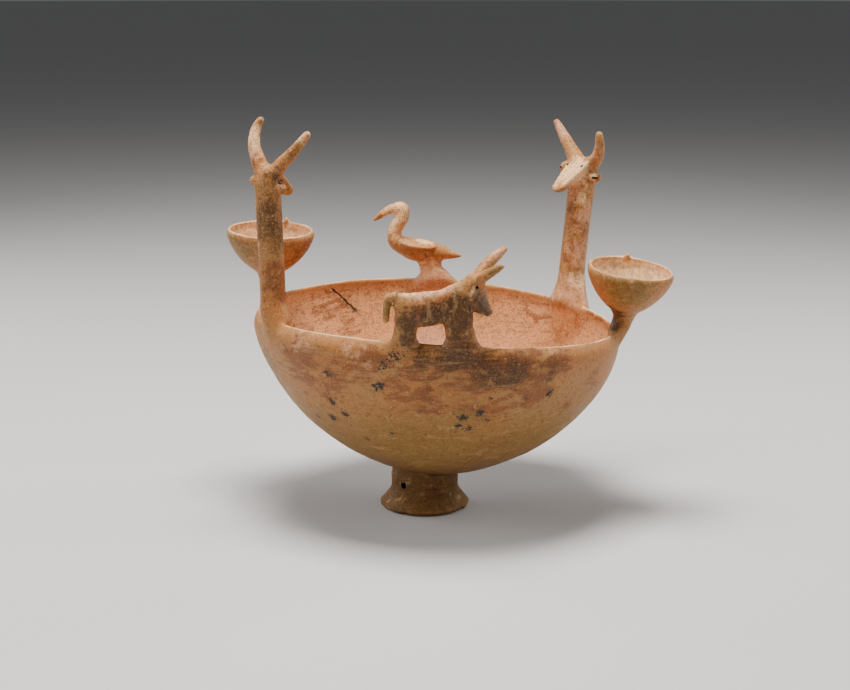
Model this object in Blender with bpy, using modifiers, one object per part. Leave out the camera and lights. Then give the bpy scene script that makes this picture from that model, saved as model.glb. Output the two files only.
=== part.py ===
"""A hand-built bowl of red polished ware, fired in one piece with the figures that stand on its rim.

A deep round bowl stands on a small hollow foot. Two horned heads on long necks, two small cups on
stems, a long-necked bird and a horned beast rise from the rim. Metres, +Z up, the front is -Y.
"""

import math

import bmesh
import bpy
from mathutils import Matrix, Vector

# The bowl, turned true and then settled: its rim leans, warps and tips as the real one does.
BOWL_X = -0.0035
BOWL_Y = 0.0020
BOWL_RADIUS = 0.1667
BOWL_DEPTH = 0.1427
BOWL_FULLNESS = 1.79
BOWL_WALL = 0.0064
BOWL_FLOOR = 0.0105
BOWL_TILT = math.radians(3.4)
BOWL_LIP = 0.0040
BOWL_LIP_RISE = 0.0048
BOWL_DRAW_IN = 0.0030
BOWL_SHOULDER = 0.0100
RIM_LEAN = -0.0025
RIM_WARP = 0.0034
RIM_WARP_DEPTH = 0.0600
BOWL_STEPS = 44

# The foot, which the potter set a little to the left of the bowl's lowest point.
FOOT_HEIGHT = 0.0340
FOOT_SHIFT = -0.0145
FOOT_NECK_RADIUS = 0.0306
FOOT_BASE_RADIUS = 0.0414
FOOT_FLARE_HEIGHT = 0.0190
FOOT_EDGE = 0.0042
FOOT_WALL = 0.0048
FOOT_ROOF = 0.0055
FOOT_HOLE_RADIUS = 0.0027
FOOT_HOLE_HEIGHT = 0.0243
FOOT_HOLE_ANGLE = math.radians(231)
FOOT_STEPS = 22

# The two cups. Each stands over the rim on a stem: its place along the rim, how high and how far
# out its own rim's middle is, how far out its stem is rooted, its radius and depth, its tips
# towards +X and towards the front, and its lugs: (angle, how far out of the lip's middle, how far
# under the lip's crest).
CUP_WALL = 0.0038
CUP_FLOOR = 0.0100
CUP_FULLNESS = 1.55
CUP_LIP = 0.0028
CUP_LIP_RISE = 0.0030
CUP_DRAW_IN = 0.0008
CUP_SHOULDER = 0.0040
CUP_LUG_RADIUS = 0.0032
CUP_LUG_HEIGHT = 0.0046
CUP_STEM_RADIUS = 0.0092
CUP_STEPS = 20
CUPS = {
    "left": {
        "place": math.radians(164.5),
        "height": 0.0645,
        "outward": 0.0003,
        "root": 0.0010,
        "radius": 0.0408,
        "depth": 0.0420,
        "tips": (math.radians(2.7), math.radians(4)),
        "lugs": ((math.radians(72), 0.0, 0.0005), (math.radians(266), 0.0020, 0.0045)),
    },
    "right": {
        "place": math.radians(350),
        "height": 0.0590,
        "outward": 0.0145,
        "root": 0.0042,
        "radius": 0.0392,
        "depth": 0.0420,
        "tips": (math.radians(6.7), math.radians(6.3)),
        "lugs": ((math.radians(91), 0.0, 0.0010), (math.radians(266), 0.0020, 0.0045)),
    },
}

# The two horned heads on long necks. A neck's height runs from the rim to the fork of the horns,
# and its lean and its radius are its own. Its head is (how far forward its brow lies, how far it
# reaches, its radius). The middles of its ears are (forward, to the figure's left, up) from that
# fork, and a horn's points have their radius as well.
NECK_HEIGHT = 0.1370
MUZZLE_RADIUS = 0.0080
HEAD_FLATNESS = 0.80
# The head's points: (share of its length, how far under the brow, how far it has thinned to the
# muzzle), and the muzzle's own, set back from its end and under the brow by shares of its radius.
HEAD_FORM = ((0.04, 0.38, 0.00), (0.44, 0.30, 0.45))
MUZZLE_FORM = (0.80, 0.25)
FACE_SLOPE = math.radians(40)
EYES_DOWN = 0.0093
EYE_SPREAD = 0.0098
EAR_HALF_SIZES = (0.0054, 0.0078, 0.0056)
PROTOMES = {
    "left": {
        "place": math.radians(207.6),
        "faces": math.radians(63),
        "lean": math.radians(1.7),
        "neck": 0.0111,
        "head": (0.0030, 0.0352, 0.0080),
        "ears": ((-0.0015, 0.0086, -0.0150), (0.0000, -0.0116, -0.0208)),
        "horns": (
            ((0.000, 0.003, -0.010, 0.0078), (0.001, 0.0090, 0.002, 0.0066), (0.002, 0.0138, 0.015, 0.0056),
             (0.006, 0.0142, 0.028, 0.0047), (0.0080, 0.0105, 0.0362, 0.0034)),
            ((0.000, -0.005, -0.011, 0.0074), (0.003, -0.013, 0.000, 0.0060),
             (0.006, -0.0230, 0.0105, 0.0050), (0.0080, -0.0355, 0.0250, 0.0034)),
        ),
    },
    "right": {
        "place": math.radians(38.2),
        "faces": math.radians(218),
        "lean": math.radians(7.5),
        "neck": 0.0126,
        "head": (0.0055, 0.0370, 0.0140),
        "ears": ((0.0000, 0.0146, -0.0168), (0.0070, -0.0168, -0.0092)),
        "horns": (
            ((0.000, 0.005, -0.007, 0.0086), (0.001, 0.0168, -0.0003, 0.0064), (0.005, 0.0262, 0.011, 0.0053),
             (0.0085, 0.0290, 0.0248, 0.0038)),
            ((0.002, -0.006, -0.006, 0.0090), (0.0026, -0.0148, 0.006, 0.0066),
             (0.0034, -0.0258, 0.020, 0.0052), (0.0040, -0.0358, 0.0325, 0.0036)),
        ),
    },
}

# The beast and the bird keep their proportions: every size below is a share of the figure's own
# size, and a limb's points are (forward, to the figure's left, up, radius) from the rim.
BEAST_SIZE = 0.1000
BEAST_PLACE = math.radians(268.2)
BEAST_FACES = math.radians(0)
BEAST_SLIMNESS = 0.62
BEAST_LEG_SLIMNESS = 0.84
BEAST_TRUNK = (
    (-0.235, 0, 0.318, 0.112), (-0.160, 0, 0.298, 0.136), (-0.060, 0, 0.292, 0.148), (0.100, 0, 0.320, 0.136),
    (0.200, 0, 0.375, 0.128), (0.290, 0, 0.445, 0.106), (0.350, 0, 0.505, 0.092),
)
BEAST_LEGS = (
    ((-0.205, 0, 0.355, 0.072), (-0.212, 0, 0.220, 0.098), (-0.206, 0, 0.100, 0.083),
     (-0.210, 0, -0.020, 0.070)),
    ((0.205, 0, 0.405, 0.080), (0.216, 0, 0.250, 0.119), (0.220, 0, 0.100, 0.110),
     (0.225, 0, -0.020, 0.094)),
)
BEAST_HEAD = (
    (0.375, 0, 0.500, 0.100), (0.385, 0, 0.425, 0.100), (0.402, 0, 0.338, 0.088), (0.462, 0, 0.270, 0.044),
)
BEAST_HEAD_SLIMNESS = 0.80
BEAST_FACE = (0.405, 0.000, 0.450)
BEAST_FACE_SLOPE = math.radians(71)
BEAST_FACE_TURN = math.radians(-40)
BEAST_EYES = ((0.355, -0.044, 0.480), (0.430, 0.045, 0.478))
BEAST_EAR = (0.340, 0.080, 0.440)
BEAST_EAR_HALF_SIZES = (0.026, 0.024, 0.070)
BEAST_EAR_DROOP = math.radians(25)
BEAST_TAIL = (
    (-0.270, 0, 0.395, 0.046), (-0.350, 0, 0.385, 0.036), (-0.368, 0, 0.310, 0.030),
    (-0.375, 0, 0.205, 0.031),
)
BEAST_HORNS = (
    ((0.355, 0.020, 0.515, 0.060), (0.450, 0.090, 0.640, 0.054), (0.535, 0.140, 0.715, 0.047),
     (0.600, 0.168, 0.765, 0.030)),
    ((0.350, -0.020, 0.515, 0.054), (0.440, -0.095, 0.588, 0.044), (0.515, -0.145, 0.642, 0.037),
     (0.566, -0.172, 0.674, 0.026)),
)
# Where each pair of legs meets the rim: (forward, half width, half thickness).
BEAST_FEET = ((-0.214, 0.084, 0.070), (0.226, 0.111, 0.086))
BEAST_FEET_FLARE = 1.75
BEAST_FEET_RISE = 0.16
BEAST_FEET_DEPTH = 0.32

BIRD_SIZE = 0.1000
BIRD_PLACE = math.radians(92.0)
BIRD_FACES = math.radians(180)
BIRD_SLIMNESS = 1.05
BIRD_TRUNK = (
    (-0.290, 0, 0.231, 0.016), (-0.190, 0, 0.240, 0.044), (-0.060, 0, 0.264, 0.082), (0.080, 0, 0.278, 0.108),
    (0.190, 0, 0.297, 0.111), (0.300, 0, 0.334, 0.088),
)
BIRD_STAND = (
    (0.060, 0, 0.260, 0.130), (0.024, 0, 0.160, 0.114), (0.018, 0, 0.100, 0.112), (0, 0, -0.010, 0.130),
)
BIRD_STAND_SLIMNESS = 0.72
# Where the stand meets the rim: (forward, half width, half thickness).
BIRD_FOOT = (-0.004, 0.122, 0.084)
BIRD_FOOT_FLARE = 1.80
BIRD_FOOT_RISE = 0.10
BIRD_FOOT_DEPTH = 0.34
BIRD_NECK = (
    (0.270, 0, 0.325, 0.085), (0.358, 0, 0.366, 0.080), (0.382, 0, 0.440, 0.068), (0.356, 0, 0.520, 0.072),
    (0.312, 0, 0.600, 0.074), (0.295, 0, 0.680, 0.070),
)
BIRD_HEAD = (0.318, 0, 0.698)
BIRD_HEAD_HALF_SIZES = (0.082, 0.070, 0.076)
BIRD_BILL = (
    (0.320, 0, 0.708, 0.062), (0.415, 0, 0.695, 0.049), (0.505, 0, 0.642, 0.036), (0.575, 0, 0.590, 0.020),
)
BIRD_WING = (0.140, 0.085, 0.358)
BIRD_WING_HALF_SIZES = (0.180, 0.076, 0.022)
BIRD_WING_DROOP = math.radians(28)
BIRD_WING_RISE = math.radians(7)

# Each figure is smoothed onto the rim by a collar of clay. A ring of it is (how far up towards the
# figure, or down towards the end of the root; how much of the flare; how much of the thickness; how
# much of the collar's own shift towards the inside of the bowl).
ROOT_DEPTH = 0.0430
COLLAR_RINGS = (
    (1.00, -0.14, 0.88, 0.0), (0.45, 0.16, 0.98, 0.4), (0.12, 0.46, 1.05, 0.9), (-0.10, 0.88, 0.90, 0.8),
    (-0.30, 1.00, 0.62, 0.5), (-0.60, 0.75, 0.27, 0.2), (-1.00, 0.10, 0.00, 0.0),
)
COLLAR_SIDES = 12
NECK_COLLAR_FLARE = 1.65
NECK_COLLAR_FULLNESS = 1.10
NECK_COLLAR_INSET = 0.0030
STEM_COLLAR_FLARE = 1.60
STEM_COLLAR_FULLNESS = 0.62

# How a neck or a stem swells on its way up: (share of the way, share of its own radius). Its root
# lies inside the wall: (how far down, how thick), again as shares of its radius.
NECK_FORM = ((0.04, 1.06), (0.17, 1.02), (0.45, 1.00), (0.75, 1.01), (0.88, 1.04), (0.925, 0.94))
STEM_FORM = ((0.10, 0.90), (0.50, 0.98), (0.85, 1.04), (1.00, 1.13))
STEM_TOP = (0.55, 1.46)
UPRIGHT_ROOT = (1.80, 0.28)

EYE_RADIUS = 0.0012
EYE_DEPTH = 0.0018

LIMB_SIDES = 8
BROAD_LIMB_SIDES = 10
CLAY_COLOUR = (0.56, 0.25, 0.12, 1.0)
CLAY_ROUGHNESS = 0.55
WELD = 0.00001

BOWL_CENTRE = Vector((BOWL_X, BOWL_Y, FOOT_HEIGHT + BOWL_DEPTH * math.cos(BOWL_TILT)))
LIP_RADIUS = BOWL_RADIUS - BOWL_DRAW_IN - BOWL_WALL / 2


def clear_scene():
    for old in list(bpy.data.objects):
        bpy.data.objects.remove(old, do_unlink=True)


def new_collection(name):
    collection = bpy.data.collections.new(name)
    bpy.context.scene.collection.children.link(collection)
    return collection


def fired_clay():
    material = bpy.data.materials.new("fired_clay")
    material.use_nodes = True
    shader = material.node_tree.nodes["Principled BSDF"]
    shader.inputs["Base Color"].default_value = CLAY_COLOUR
    shader.inputs["Roughness"].default_value = CLAY_ROUGHNESS
    shader.inputs["Metallic"].default_value = 0.0
    return material


def new_object(name, data):
    thing = bpy.data.objects.new(name, data)
    bpy.context.scene.collection.objects.link(thing)
    return thing


def to_mesh(thing):
    """Replace an object by the welded mesh that its modifiers or its curve make."""
    bpy.context.view_layer.update()
    evaluated = thing.evaluated_get(bpy.context.evaluated_depsgraph_get())
    mesh = bpy.data.meshes.new_from_object(evaluated)
    mesh.transform(thing.matrix_world)
    name = thing.name
    bpy.data.objects.remove(thing, do_unlink=True)
    work = bmesh.new()
    work.from_mesh(mesh)
    bmesh.ops.remove_doubles(work, verts=work.verts, dist=WELD)
    bmesh.ops.recalc_face_normals(work, faces=work.faces)
    work.to_mesh(mesh)
    work.free()
    return new_object(name, mesh)


def turned(name, profile, steps):
    """Turn a profile of (radius, height) points, running down its outer side, about the Z axis."""
    mesh = bpy.data.meshes.new(name)
    edges = [(index, index + 1) for index in range(len(profile) - 1)]
    mesh.from_pydata([(radius, 0.0, height) for radius, height in profile], edges, [])
    thing = new_object(name, mesh)
    screw = thing.modifiers.new("turn", "SCREW")
    screw.steps = steps
    screw.render_steps = steps
    screw.use_merge_vertices = True
    screw.merge_threshold = WELD
    return to_mesh(thing)


def smooth_route(points, per_span=2):
    """A smooth run of (place, radius) pairs through the few that are given."""
    ends = [points[0]] + list(points) + [points[-1]]
    route = [points[0]]
    for before, start, end, after in zip(ends, ends[1:], ends[2:], ends[3:]):
        for step in range(1, per_span + 1):
            share = step / per_span
            weights = (
                (-share**3 + 2 * share**2 - share) / 2,
                (3 * share**3 - 5 * share**2 + 2) / 2,
                (-3 * share**3 + 4 * share**2 + share) / 2,
                (share**3 - share**2) / 2,
            )
            knots = (before, start, end, after)
            place = sum((knot[0] * weight for knot, weight in zip(knots, weights)), Vector((0, 0, 0)))
            radius = sum(knot[1] * weight for knot, weight in zip(knots, weights))
            route.append((place, radius))
    return route


def sized(points, size=1.0):
    """Places and radii from points written as shares of a size."""
    return [(Vector(point[:3]) * size, point[3] * size) for point in points]


def round_end(route):
    """Close the far end of a route with a dome of its last radius."""
    place, radius = route[-1]
    direction = (place - route[-2][0]).normalized()
    dome = []
    for angle in (math.radians(42), math.radians(76)):
        dome.append((place + direction * radius * math.sin(angle), radius * math.cos(angle)))
    return route + dome


def limb(name, points, sides=LIMB_SIDES, per_span=2, domed_start=False, domed_end=True):
    """A round limb through a few (place, radius) points, flat or domed at its ends."""
    route = smooth_route(points, per_span)
    if domed_end:
        route = round_end(route)
    if domed_start:
        route = round_end(route[::-1])
    curve = bpy.data.curves.new(name, "CURVE")
    curve.dimensions = "3D"
    curve.bevel_depth = 1.0
    curve.bevel_resolution = (sides - 4) // 2
    curve.use_fill_caps = True
    spline = curve.splines.new("POLY")
    spline.points.add(len(route) - 1)
    for knot, (place, radius) in zip(spline.points, route):
        knot.co = (*place, 1.0)
        knot.radius = radius
    return to_mesh(new_object(name, curve))


def ball(name, centre, half_sizes, turn=None, segments=8, rings=6):
    """An egg of three half sizes about a centre, turned by a matrix."""
    work = bmesh.new()
    bmesh.ops.create_uvsphere(work, u_segments=segments, v_segments=rings, radius=1.0)
    mesh = bpy.data.meshes.new(name)
    work.to_mesh(mesh)
    work.free()
    shape = (turn or Matrix.Identity(4)) @ Matrix.Diagonal((*half_sizes, 1.0))
    mesh.transform(Matrix.Translation(centre) @ shape)
    return new_object(name, mesh)


def loft(name, rings, along, away, sides):
    """Skin a stack of ellipses, each a (centre, half width along, half thickness away)."""
    work = bmesh.new()
    loops = []
    for centre, half_width, half_thickness in rings:
        loop = []
        for index in range(sides):
            angle = 2 * math.pi * index / sides
            offset = along * half_width * math.cos(angle) + away * half_thickness * math.sin(angle)
            loop.append(work.verts.new(centre + offset))
        loops.append(loop)
    for upper, lower in zip(loops, loops[1:]):
        for index in range(sides):
            work.faces.new((upper[index - 1], upper[index], lower[index], lower[index - 1]))
    work.faces.new(loops[0])
    work.faces.new(loops[-1])
    bmesh.ops.recalc_face_normals(work, faces=work.faces)
    mesh = bpy.data.meshes.new(name)
    work.to_mesh(mesh)
    work.free()
    return new_object(name, mesh)


def squash(piece, point, direction, share):
    """Thin a piece along a direction about a point."""
    for vertex in piece.data.vertices:
        away = (vertex.co - point).dot(direction)
        vertex.co += direction * away * (share - 1)


def slice_flat(piece, point, normal):
    """Take off all that lies beyond a plane and close the cut with a flat face."""
    work = bmesh.new()
    work.from_mesh(piece.data)
    whole = work.verts[:] + work.edges[:] + work.faces[:]
    cut = bmesh.ops.bisect_plane(work, geom=whole, plane_co=point, plane_no=normal, clear_outer=True)
    rim = [part for part in cut["geom_cut"] if isinstance(part, bmesh.types.BMEdge)]
    bmesh.ops.holes_fill(work, edges=rim, sides=0)
    work.to_mesh(piece.data)
    work.free()


def place_all(pieces, matrix):
    for piece in pieces:
        piece.data.transform(matrix)
    return pieces


def combine(body, pieces, operation):
    """Join pieces to the body, or cut them from it, one after another."""
    for piece in pieces:
        boolean = body.modifiers.new(piece.name, "BOOLEAN")
        boolean.operation = operation
        boolean.solver = "EXACT"
        boolean.object = piece
        name = body.name
        body = to_mesh(body)
        body.name = name
        bpy.data.objects.remove(piece, do_unlink=True)
    return body


def between(low, high, share):
    return low + (high - low) * share


def ease(share):
    share = min(max(share, 0.0), 1.0)
    return share * share * (3 - 2 * share)


def dish_radius(radius, depth, fullness, below):
    """The radius of a dish at a level below its widest line."""
    sunk = min(max(below / depth, 0.0), 1.0)
    return radius * (1 - sunk**fullness) ** (1 / fullness)


def dish_side(radius, depth, fullness, count):
    """Points down the side of a dish from its widest line to its lowest point."""
    power = 2 / fullness
    side = []
    for index in range(count + 1):
        angle = math.pi / 2 * index / count
        across = radius * math.cos(angle) ** power if index < count else 0.0
        side.append((across, -depth * math.sin(angle) ** power))
    return side


def shoulder(radius, depth, fullness, below, lip_edge, lip_level):
    """Points up one face of a wall, from a level below its widest line to the edge of its lip."""
    points = []
    for share in (0.0, 0.4, 0.75):
        level = between(-below, lip_level, share)
        across = dish_radius(radius, depth, fullness, -level) - (radius - lip_edge) * share**2
        points.append((across, level))
    return points


def dish_profile(radius, depth, fullness, wall, floor, lip, lip_rise, draw_in, below, count):
    """A hollow dish: up its inside, over a thinner lip, which is drawn in, and down its outside."""
    middle = radius - draw_in - wall / 2
    level = lip_rise - lip / 2
    inside = dish_side(radius - wall, depth - floor, fullness, count)[:0:-1]
    inside += shoulder(radius - wall, depth - floor, fullness, below, middle - lip / 2, level)
    outside = shoulder(radius, depth, fullness, below, middle + lip / 2, level)[::-1]
    outside += dish_side(radius, depth, fullness, count)[1:]
    crest = []
    for angle in (math.radians(180), math.radians(125), math.radians(90), math.radians(55), math.radians(0)):
        crest.append((middle + lip / 2 * math.cos(angle), lip_rise - lip / 2 * (1 - math.sin(angle))))
    return inside + crest + outside


def settled(point):
    """Where a point of the true turned bowl lies on the real one."""
    near_rim = ease(1 + point.z / RIM_WARP_DEPTH)
    angle = math.atan2(point.y, point.x)
    lean = RIM_LEAN * near_rim
    warp = -RIM_WARP * near_rim * math.cos(2 * angle)
    tilt = Matrix.Rotation(BOWL_TILT, 3, "Y")
    return BOWL_CENTRE + tilt @ (point + Vector((lean, 0, warp)))


def rim_point(angle):
    """The crest of the rim at an angle about the bowl's axis."""
    return settled(Vector((LIP_RADIUS * math.cos(angle), LIP_RADIUS * math.sin(angle), BOWL_LIP_RISE)))


def wall_point(angle, below):
    """The middle of the bowl's wall at a depth below the rim."""
    level = BOWL_LIP_RISE - below
    radius = dish_radius(BOWL_RADIUS, BOWL_DEPTH, BOWL_FULLNESS, -level) - BOWL_WALL / 2
    return settled(Vector((radius * math.cos(angle), radius * math.sin(angle), level)))


def seat(angle, faces):
    """A figure's own frame on the rim: +X is where it faces, +Y its left and +Z up."""
    return Matrix.Translation(rim_point(angle)) @ Matrix.Rotation(faces, 4, "Z")


def collar(name, angle, upward, width, thickness, flare, depth, inset=0.0):
    """Clay smoothed from a figure onto the rim, out along it and down the wall until it dies away."""
    hidden = BOWL_WALL * 0.36
    away = Vector((math.cos(angle), math.sin(angle), 0))
    along = Vector((-math.sin(angle), math.cos(angle), 0))
    rings = []
    for level, spread, fullness, shift in COLLAR_RINGS:
        if level > 0:
            centre = rim_point(angle) + upward * level
        else:
            centre = wall_point(angle, -level * depth) - away * BOWL_DRAW_IN * (1 + level)
        centre = centre - away * inset * shift
        rings.append((centre, width * between(1, flare, spread), between(hidden, thickness, fullness)))
    return loft(name, rings, along, away, COLLAR_SIDES)


def bowl():
    profile = dish_profile(
        BOWL_RADIUS, BOWL_DEPTH, BOWL_FULLNESS, BOWL_WALL, BOWL_FLOOR,
        BOWL_LIP, BOWL_LIP_RISE, BOWL_DRAW_IN, BOWL_SHOULDER, 9,
    )
    shell = turned("bowl", profile, BOWL_STEPS)
    for vertex in shell.data.vertices:
        vertex.co = settled(vertex.co)
    return shell


def foot_place():
    return Vector((BOWL_X + FOOT_SHIFT, BOWL_Y, 0))


def foot():
    """The foot, from inside the bowl's floor down to its spreading edge, hollow from below."""
    profile = [(0, FOOT_HEIGHT + BOWL_FLOOR * 0.55), (FOOT_NECK_RADIUS, FOOT_HEIGHT + BOWL_FLOOR * 0.55)]
    for share in (0.0, 0.25, 0.5, 0.75, 1.0):
        level = between(FOOT_FLARE_HEIGHT, FOOT_EDGE, share)
        profile.append((between(FOOT_NECK_RADIUS, FOOT_BASE_RADIUS, share**1.35), level))
    profile.append((FOOT_BASE_RADIUS - FOOT_EDGE * 0.30, FOOT_EDGE * 0.30))
    profile.append((FOOT_BASE_RADIUS - FOOT_EDGE, 0))
    roof = FOOT_HEIGHT - FOOT_ROOF
    profile.append((FOOT_BASE_RADIUS - FOOT_EDGE - FOOT_WALL, 0))
    profile.append((FOOT_NECK_RADIUS - FOOT_WALL, FOOT_FLARE_HEIGHT))
    profile.append((FOOT_NECK_RADIUS - FOOT_WALL * 1.8, roof - FOOT_WALL * 0.3))
    profile.append((FOOT_NECK_RADIUS - FOOT_WALL * 3, roof))
    profile.append((0, roof))
    return place_all([turned("foot", profile, FOOT_STEPS)], Matrix.Translation(foot_place()))[0]


def foot_hole():
    """The small hole that was poked through the foot's wall."""
    outward = Vector((math.cos(FOOT_HOLE_ANGLE), math.sin(FOOT_HOLE_ANGLE), 0))
    middle = foot_place() + Vector((0, 0, FOOT_HOLE_HEIGHT))
    start = middle + outward * (FOOT_NECK_RADIUS - 2.2 * FOOT_WALL)
    end = middle + outward * (FOOT_NECK_RADIUS + FOOT_WALL)
    return limb("foot_hole", [(start, FOOT_HOLE_RADIUS), (end, FOOT_HOLE_RADIUS)], sides=6, per_span=1)


def upright(place, base, top, girth, form):
    """The points of a round upright that is rooted in the wall and swells as its form says."""
    root_depth, root_swell = UPRIGHT_ROOT
    points = [(wall_point(place, girth * root_depth), girth * root_swell)]
    for share, swell in form:
        points.append((base.lerp(top, share), girth * swell))
    return points


def cup(name, place, height, outward, root, radius, depth, tips, lugs):
    """A cup on a stem that rises from the rim, with a small lug on either side of its lip."""
    away = Vector((math.cos(place), math.sin(place), 0))
    rim_middle = rim_point(place) + away * outward + Vector((0, 0, height))
    tipped = Matrix.Rotation(tips[0], 4, "Y") @ Matrix.Rotation(tips[1], 4, "X")
    pose = Matrix.Translation(rim_middle) @ tipped @ Matrix.Translation((0, 0, -CUP_LIP_RISE))
    profile = dish_profile(
        radius, depth, CUP_FULLNESS, CUP_WALL, CUP_FLOOR,
        CUP_LIP, CUP_LIP_RISE, CUP_DRAW_IN, CUP_SHOULDER, 5,
    )
    dish = turned(name + "_cup", profile, CUP_STEPS)
    pieces = [dish]
    lip_middle = radius - CUP_DRAW_IN - CUP_WALL / 2
    for index, (angle, out, under) in enumerate(lugs):
        across = lip_middle + out
        spot = Vector((across * math.cos(angle), across * math.sin(angle), CUP_LIP_RISE - under))
        sizes = (CUP_LUG_RADIUS, CUP_LUG_RADIUS * 0.9, CUP_LUG_HEIGHT)
        pieces.append(ball(f"{name}_lug_{index}", spot, sizes, Matrix.Rotation(angle, 4, "Z"), 6, 5))
    place_all(pieces, pose)
    lowest = pose @ Vector((0, 0, -depth))
    foot_of_stem = rim_point(place) + away * root
    girth = CUP_STEM_RADIUS
    into_floor, top_swell = STEM_TOP
    points = upright(place, foot_of_stem, lowest, girth, STEM_FORM)
    points.append((pose @ Vector((0, 0, CUP_FLOOR * into_floor - depth)), girth * top_swell))
    pieces.append(limb(name + "_stem", points, per_span=1, domed_end=False))
    upward = (lowest - foot_of_stem).normalized() * girth
    sizes = (girth, girth * STEM_COLLAR_FULLNESS, STEM_COLLAR_FLARE, ROOT_DEPTH)
    pieces.append(collar(name + "_stem_collar", place, upward, *sizes))
    return pieces


def face_cut(piece, brow, slope, turn=0.0):
    """Flatten a head to a face that falls forward and down from the brow."""
    normal = Vector((math.sin(slope), 0, math.cos(slope)))
    slice_flat(piece, brow, Matrix.Rotation(turn, 3, "Z") @ normal)


def prick(name, spot, slope, turn=0.0):
    """The cutter for an eye that was pricked straight into a face."""
    inward = Matrix.Rotation(turn, 3, "Z") @ Vector((math.sin(slope), 0, math.cos(slope))) * -EYE_DEPTH
    return limb(name, [(spot - inward, EYE_RADIUS), (spot + inward, EYE_RADIUS)], 6, 1, False, False)


def protome(name, place, faces, lean, neck, head, ears, horns):
    """A long neck with a flat-faced head, two ears and two horns, and the cutters for its eyes."""
    base = rim_point(place)
    away = Vector((math.cos(place), math.sin(place), 0))
    fork = base + Vector((0, 0, NECK_HEIGHT)) + away * NECK_HEIGHT * math.tan(lean)
    points = upright(place, base, fork, neck, NECK_FORM)
    pieces = [limb(name + "_neck", points, sides=BROAD_LIMB_SIDES, per_span=1)]
    upward = (fork - base).normalized() * neck * 2
    sizes = (neck, neck * NECK_COLLAR_FULLNESS, NECK_COLLAR_FLARE, ROOT_DEPTH, NECK_COLLAR_INSET)
    pieces.append(collar(name + "_neck_collar", place, upward, *sizes))

    brow_reach, reach, radius = head
    brow = Vector((brow_reach, 0, 0))
    along = Vector((math.cos(FACE_SLOPE), 0, -math.sin(FACE_SLOPE)))
    under = Vector((-math.sin(FACE_SLOPE), 0, -math.cos(FACE_SLOPE)))
    length = (reach - brow_reach) / math.cos(FACE_SLOPE)
    route = []
    for share, sunk, taper in HEAD_FORM:
        spot = brow + along * length * share + under * radius * sunk
        route.append((spot, between(radius, MUZZLE_RADIUS, taper)))
    setback, sunk = MUZZLE_FORM
    muzzle = brow + along * (length - MUZZLE_RADIUS * setback) + under * MUZZLE_RADIUS * sunk
    skull = limb(name + "_head", route + [(muzzle, MUZZLE_RADIUS)], BROAD_LIMB_SIDES)
    squash(skull, brow, under, HEAD_FLATNESS)
    face_cut(skull, brow, FACE_SLOPE)
    figure = [skull]
    for index, middle in enumerate(ears):
        figure.append(ball(f"{name}_ear_{index}", Vector(middle), EAR_HALF_SIZES))
    eyes = []
    for side in (1, -1):
        spot = brow + along * EYES_DOWN + Vector((0, side * EYE_SPREAD, 0))
        eyes.append(prick(f"{name}_eye_{side}", spot, FACE_SLOPE))
    for index, points in enumerate(horns):
        figure.append(limb(f"{name}_horn_{index}", sized(points)))
    pose = Matrix.Translation(fork) @ Matrix.Rotation(faces, 4, "Z")
    return pieces + place_all(figure, pose), place_all(eyes, pose)


def beast():
    """A horned beast that stands along the rim on two broad pairs of legs, and the cutters for its eyes."""
    size = BEAST_SIZE
    middle = Vector((0, 0, 0))
    sideways = Vector((0, 1, 0))
    trunk = limb("beast_trunk", sized(BEAST_TRUNK, size), BROAD_LIMB_SIDES, domed_start=True)
    squash(trunk, middle, sideways, BEAST_SLIMNESS)
    pieces = [trunk]
    for index, points in enumerate(BEAST_LEGS):
        leg = limb(f"beast_leg_{index}", sized(points, size), BROAD_LIMB_SIDES, domed_end=False)
        squash(leg, middle, sideways, BEAST_LEG_SLIMNESS)
        pieces.append(leg)
    head = limb("beast_head", sized(BEAST_HEAD, size), BROAD_LIMB_SIDES, domed_start=True)
    squash(head, middle, sideways, BEAST_HEAD_SLIMNESS)
    face_cut(head, Vector(BEAST_FACE) * size, BEAST_FACE_SLOPE, BEAST_FACE_TURN)
    pieces += [head, limb("beast_tail", sized(BEAST_TAIL, size))]
    for index, points in enumerate(BEAST_HORNS):
        pieces.append(limb(f"beast_horn_{index}", sized(points, size), domed_start=True))
    droop = Matrix.Rotation(BEAST_EAR_DROOP, 4, "Y")
    for side in (1, -1):
        spot = Vector((BEAST_EAR[0], side * BEAST_EAR[1], BEAST_EAR[2])) * size
        pieces.append(ball(f"beast_ear_{side}", spot, Vector(BEAST_EAR_HALF_SIZES) * size, droop))
    eyes = []
    for index, spot in enumerate(BEAST_EYES):
        eyes.append(prick(f"beast_eye_{index}", Vector(spot) * size, BEAST_FACE_SLOPE, BEAST_FACE_TURN))
    pose = seat(BEAST_PLACE, BEAST_FACES)
    place_all(pieces + eyes, pose)
    for index, (forward, width, thickness) in enumerate(BEAST_FEET):
        angle = BEAST_PLACE + forward * size / LIP_RADIUS
        upward = Vector((0, 0, BEAST_FEET_RISE * size))
        pieces.append(collar(
            f"beast_collar_{index}", angle, upward, width * size, thickness * size,
            BEAST_FEET_FLARE, BEAST_FEET_DEPTH * size,
        ))
    return pieces, eyes


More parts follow.
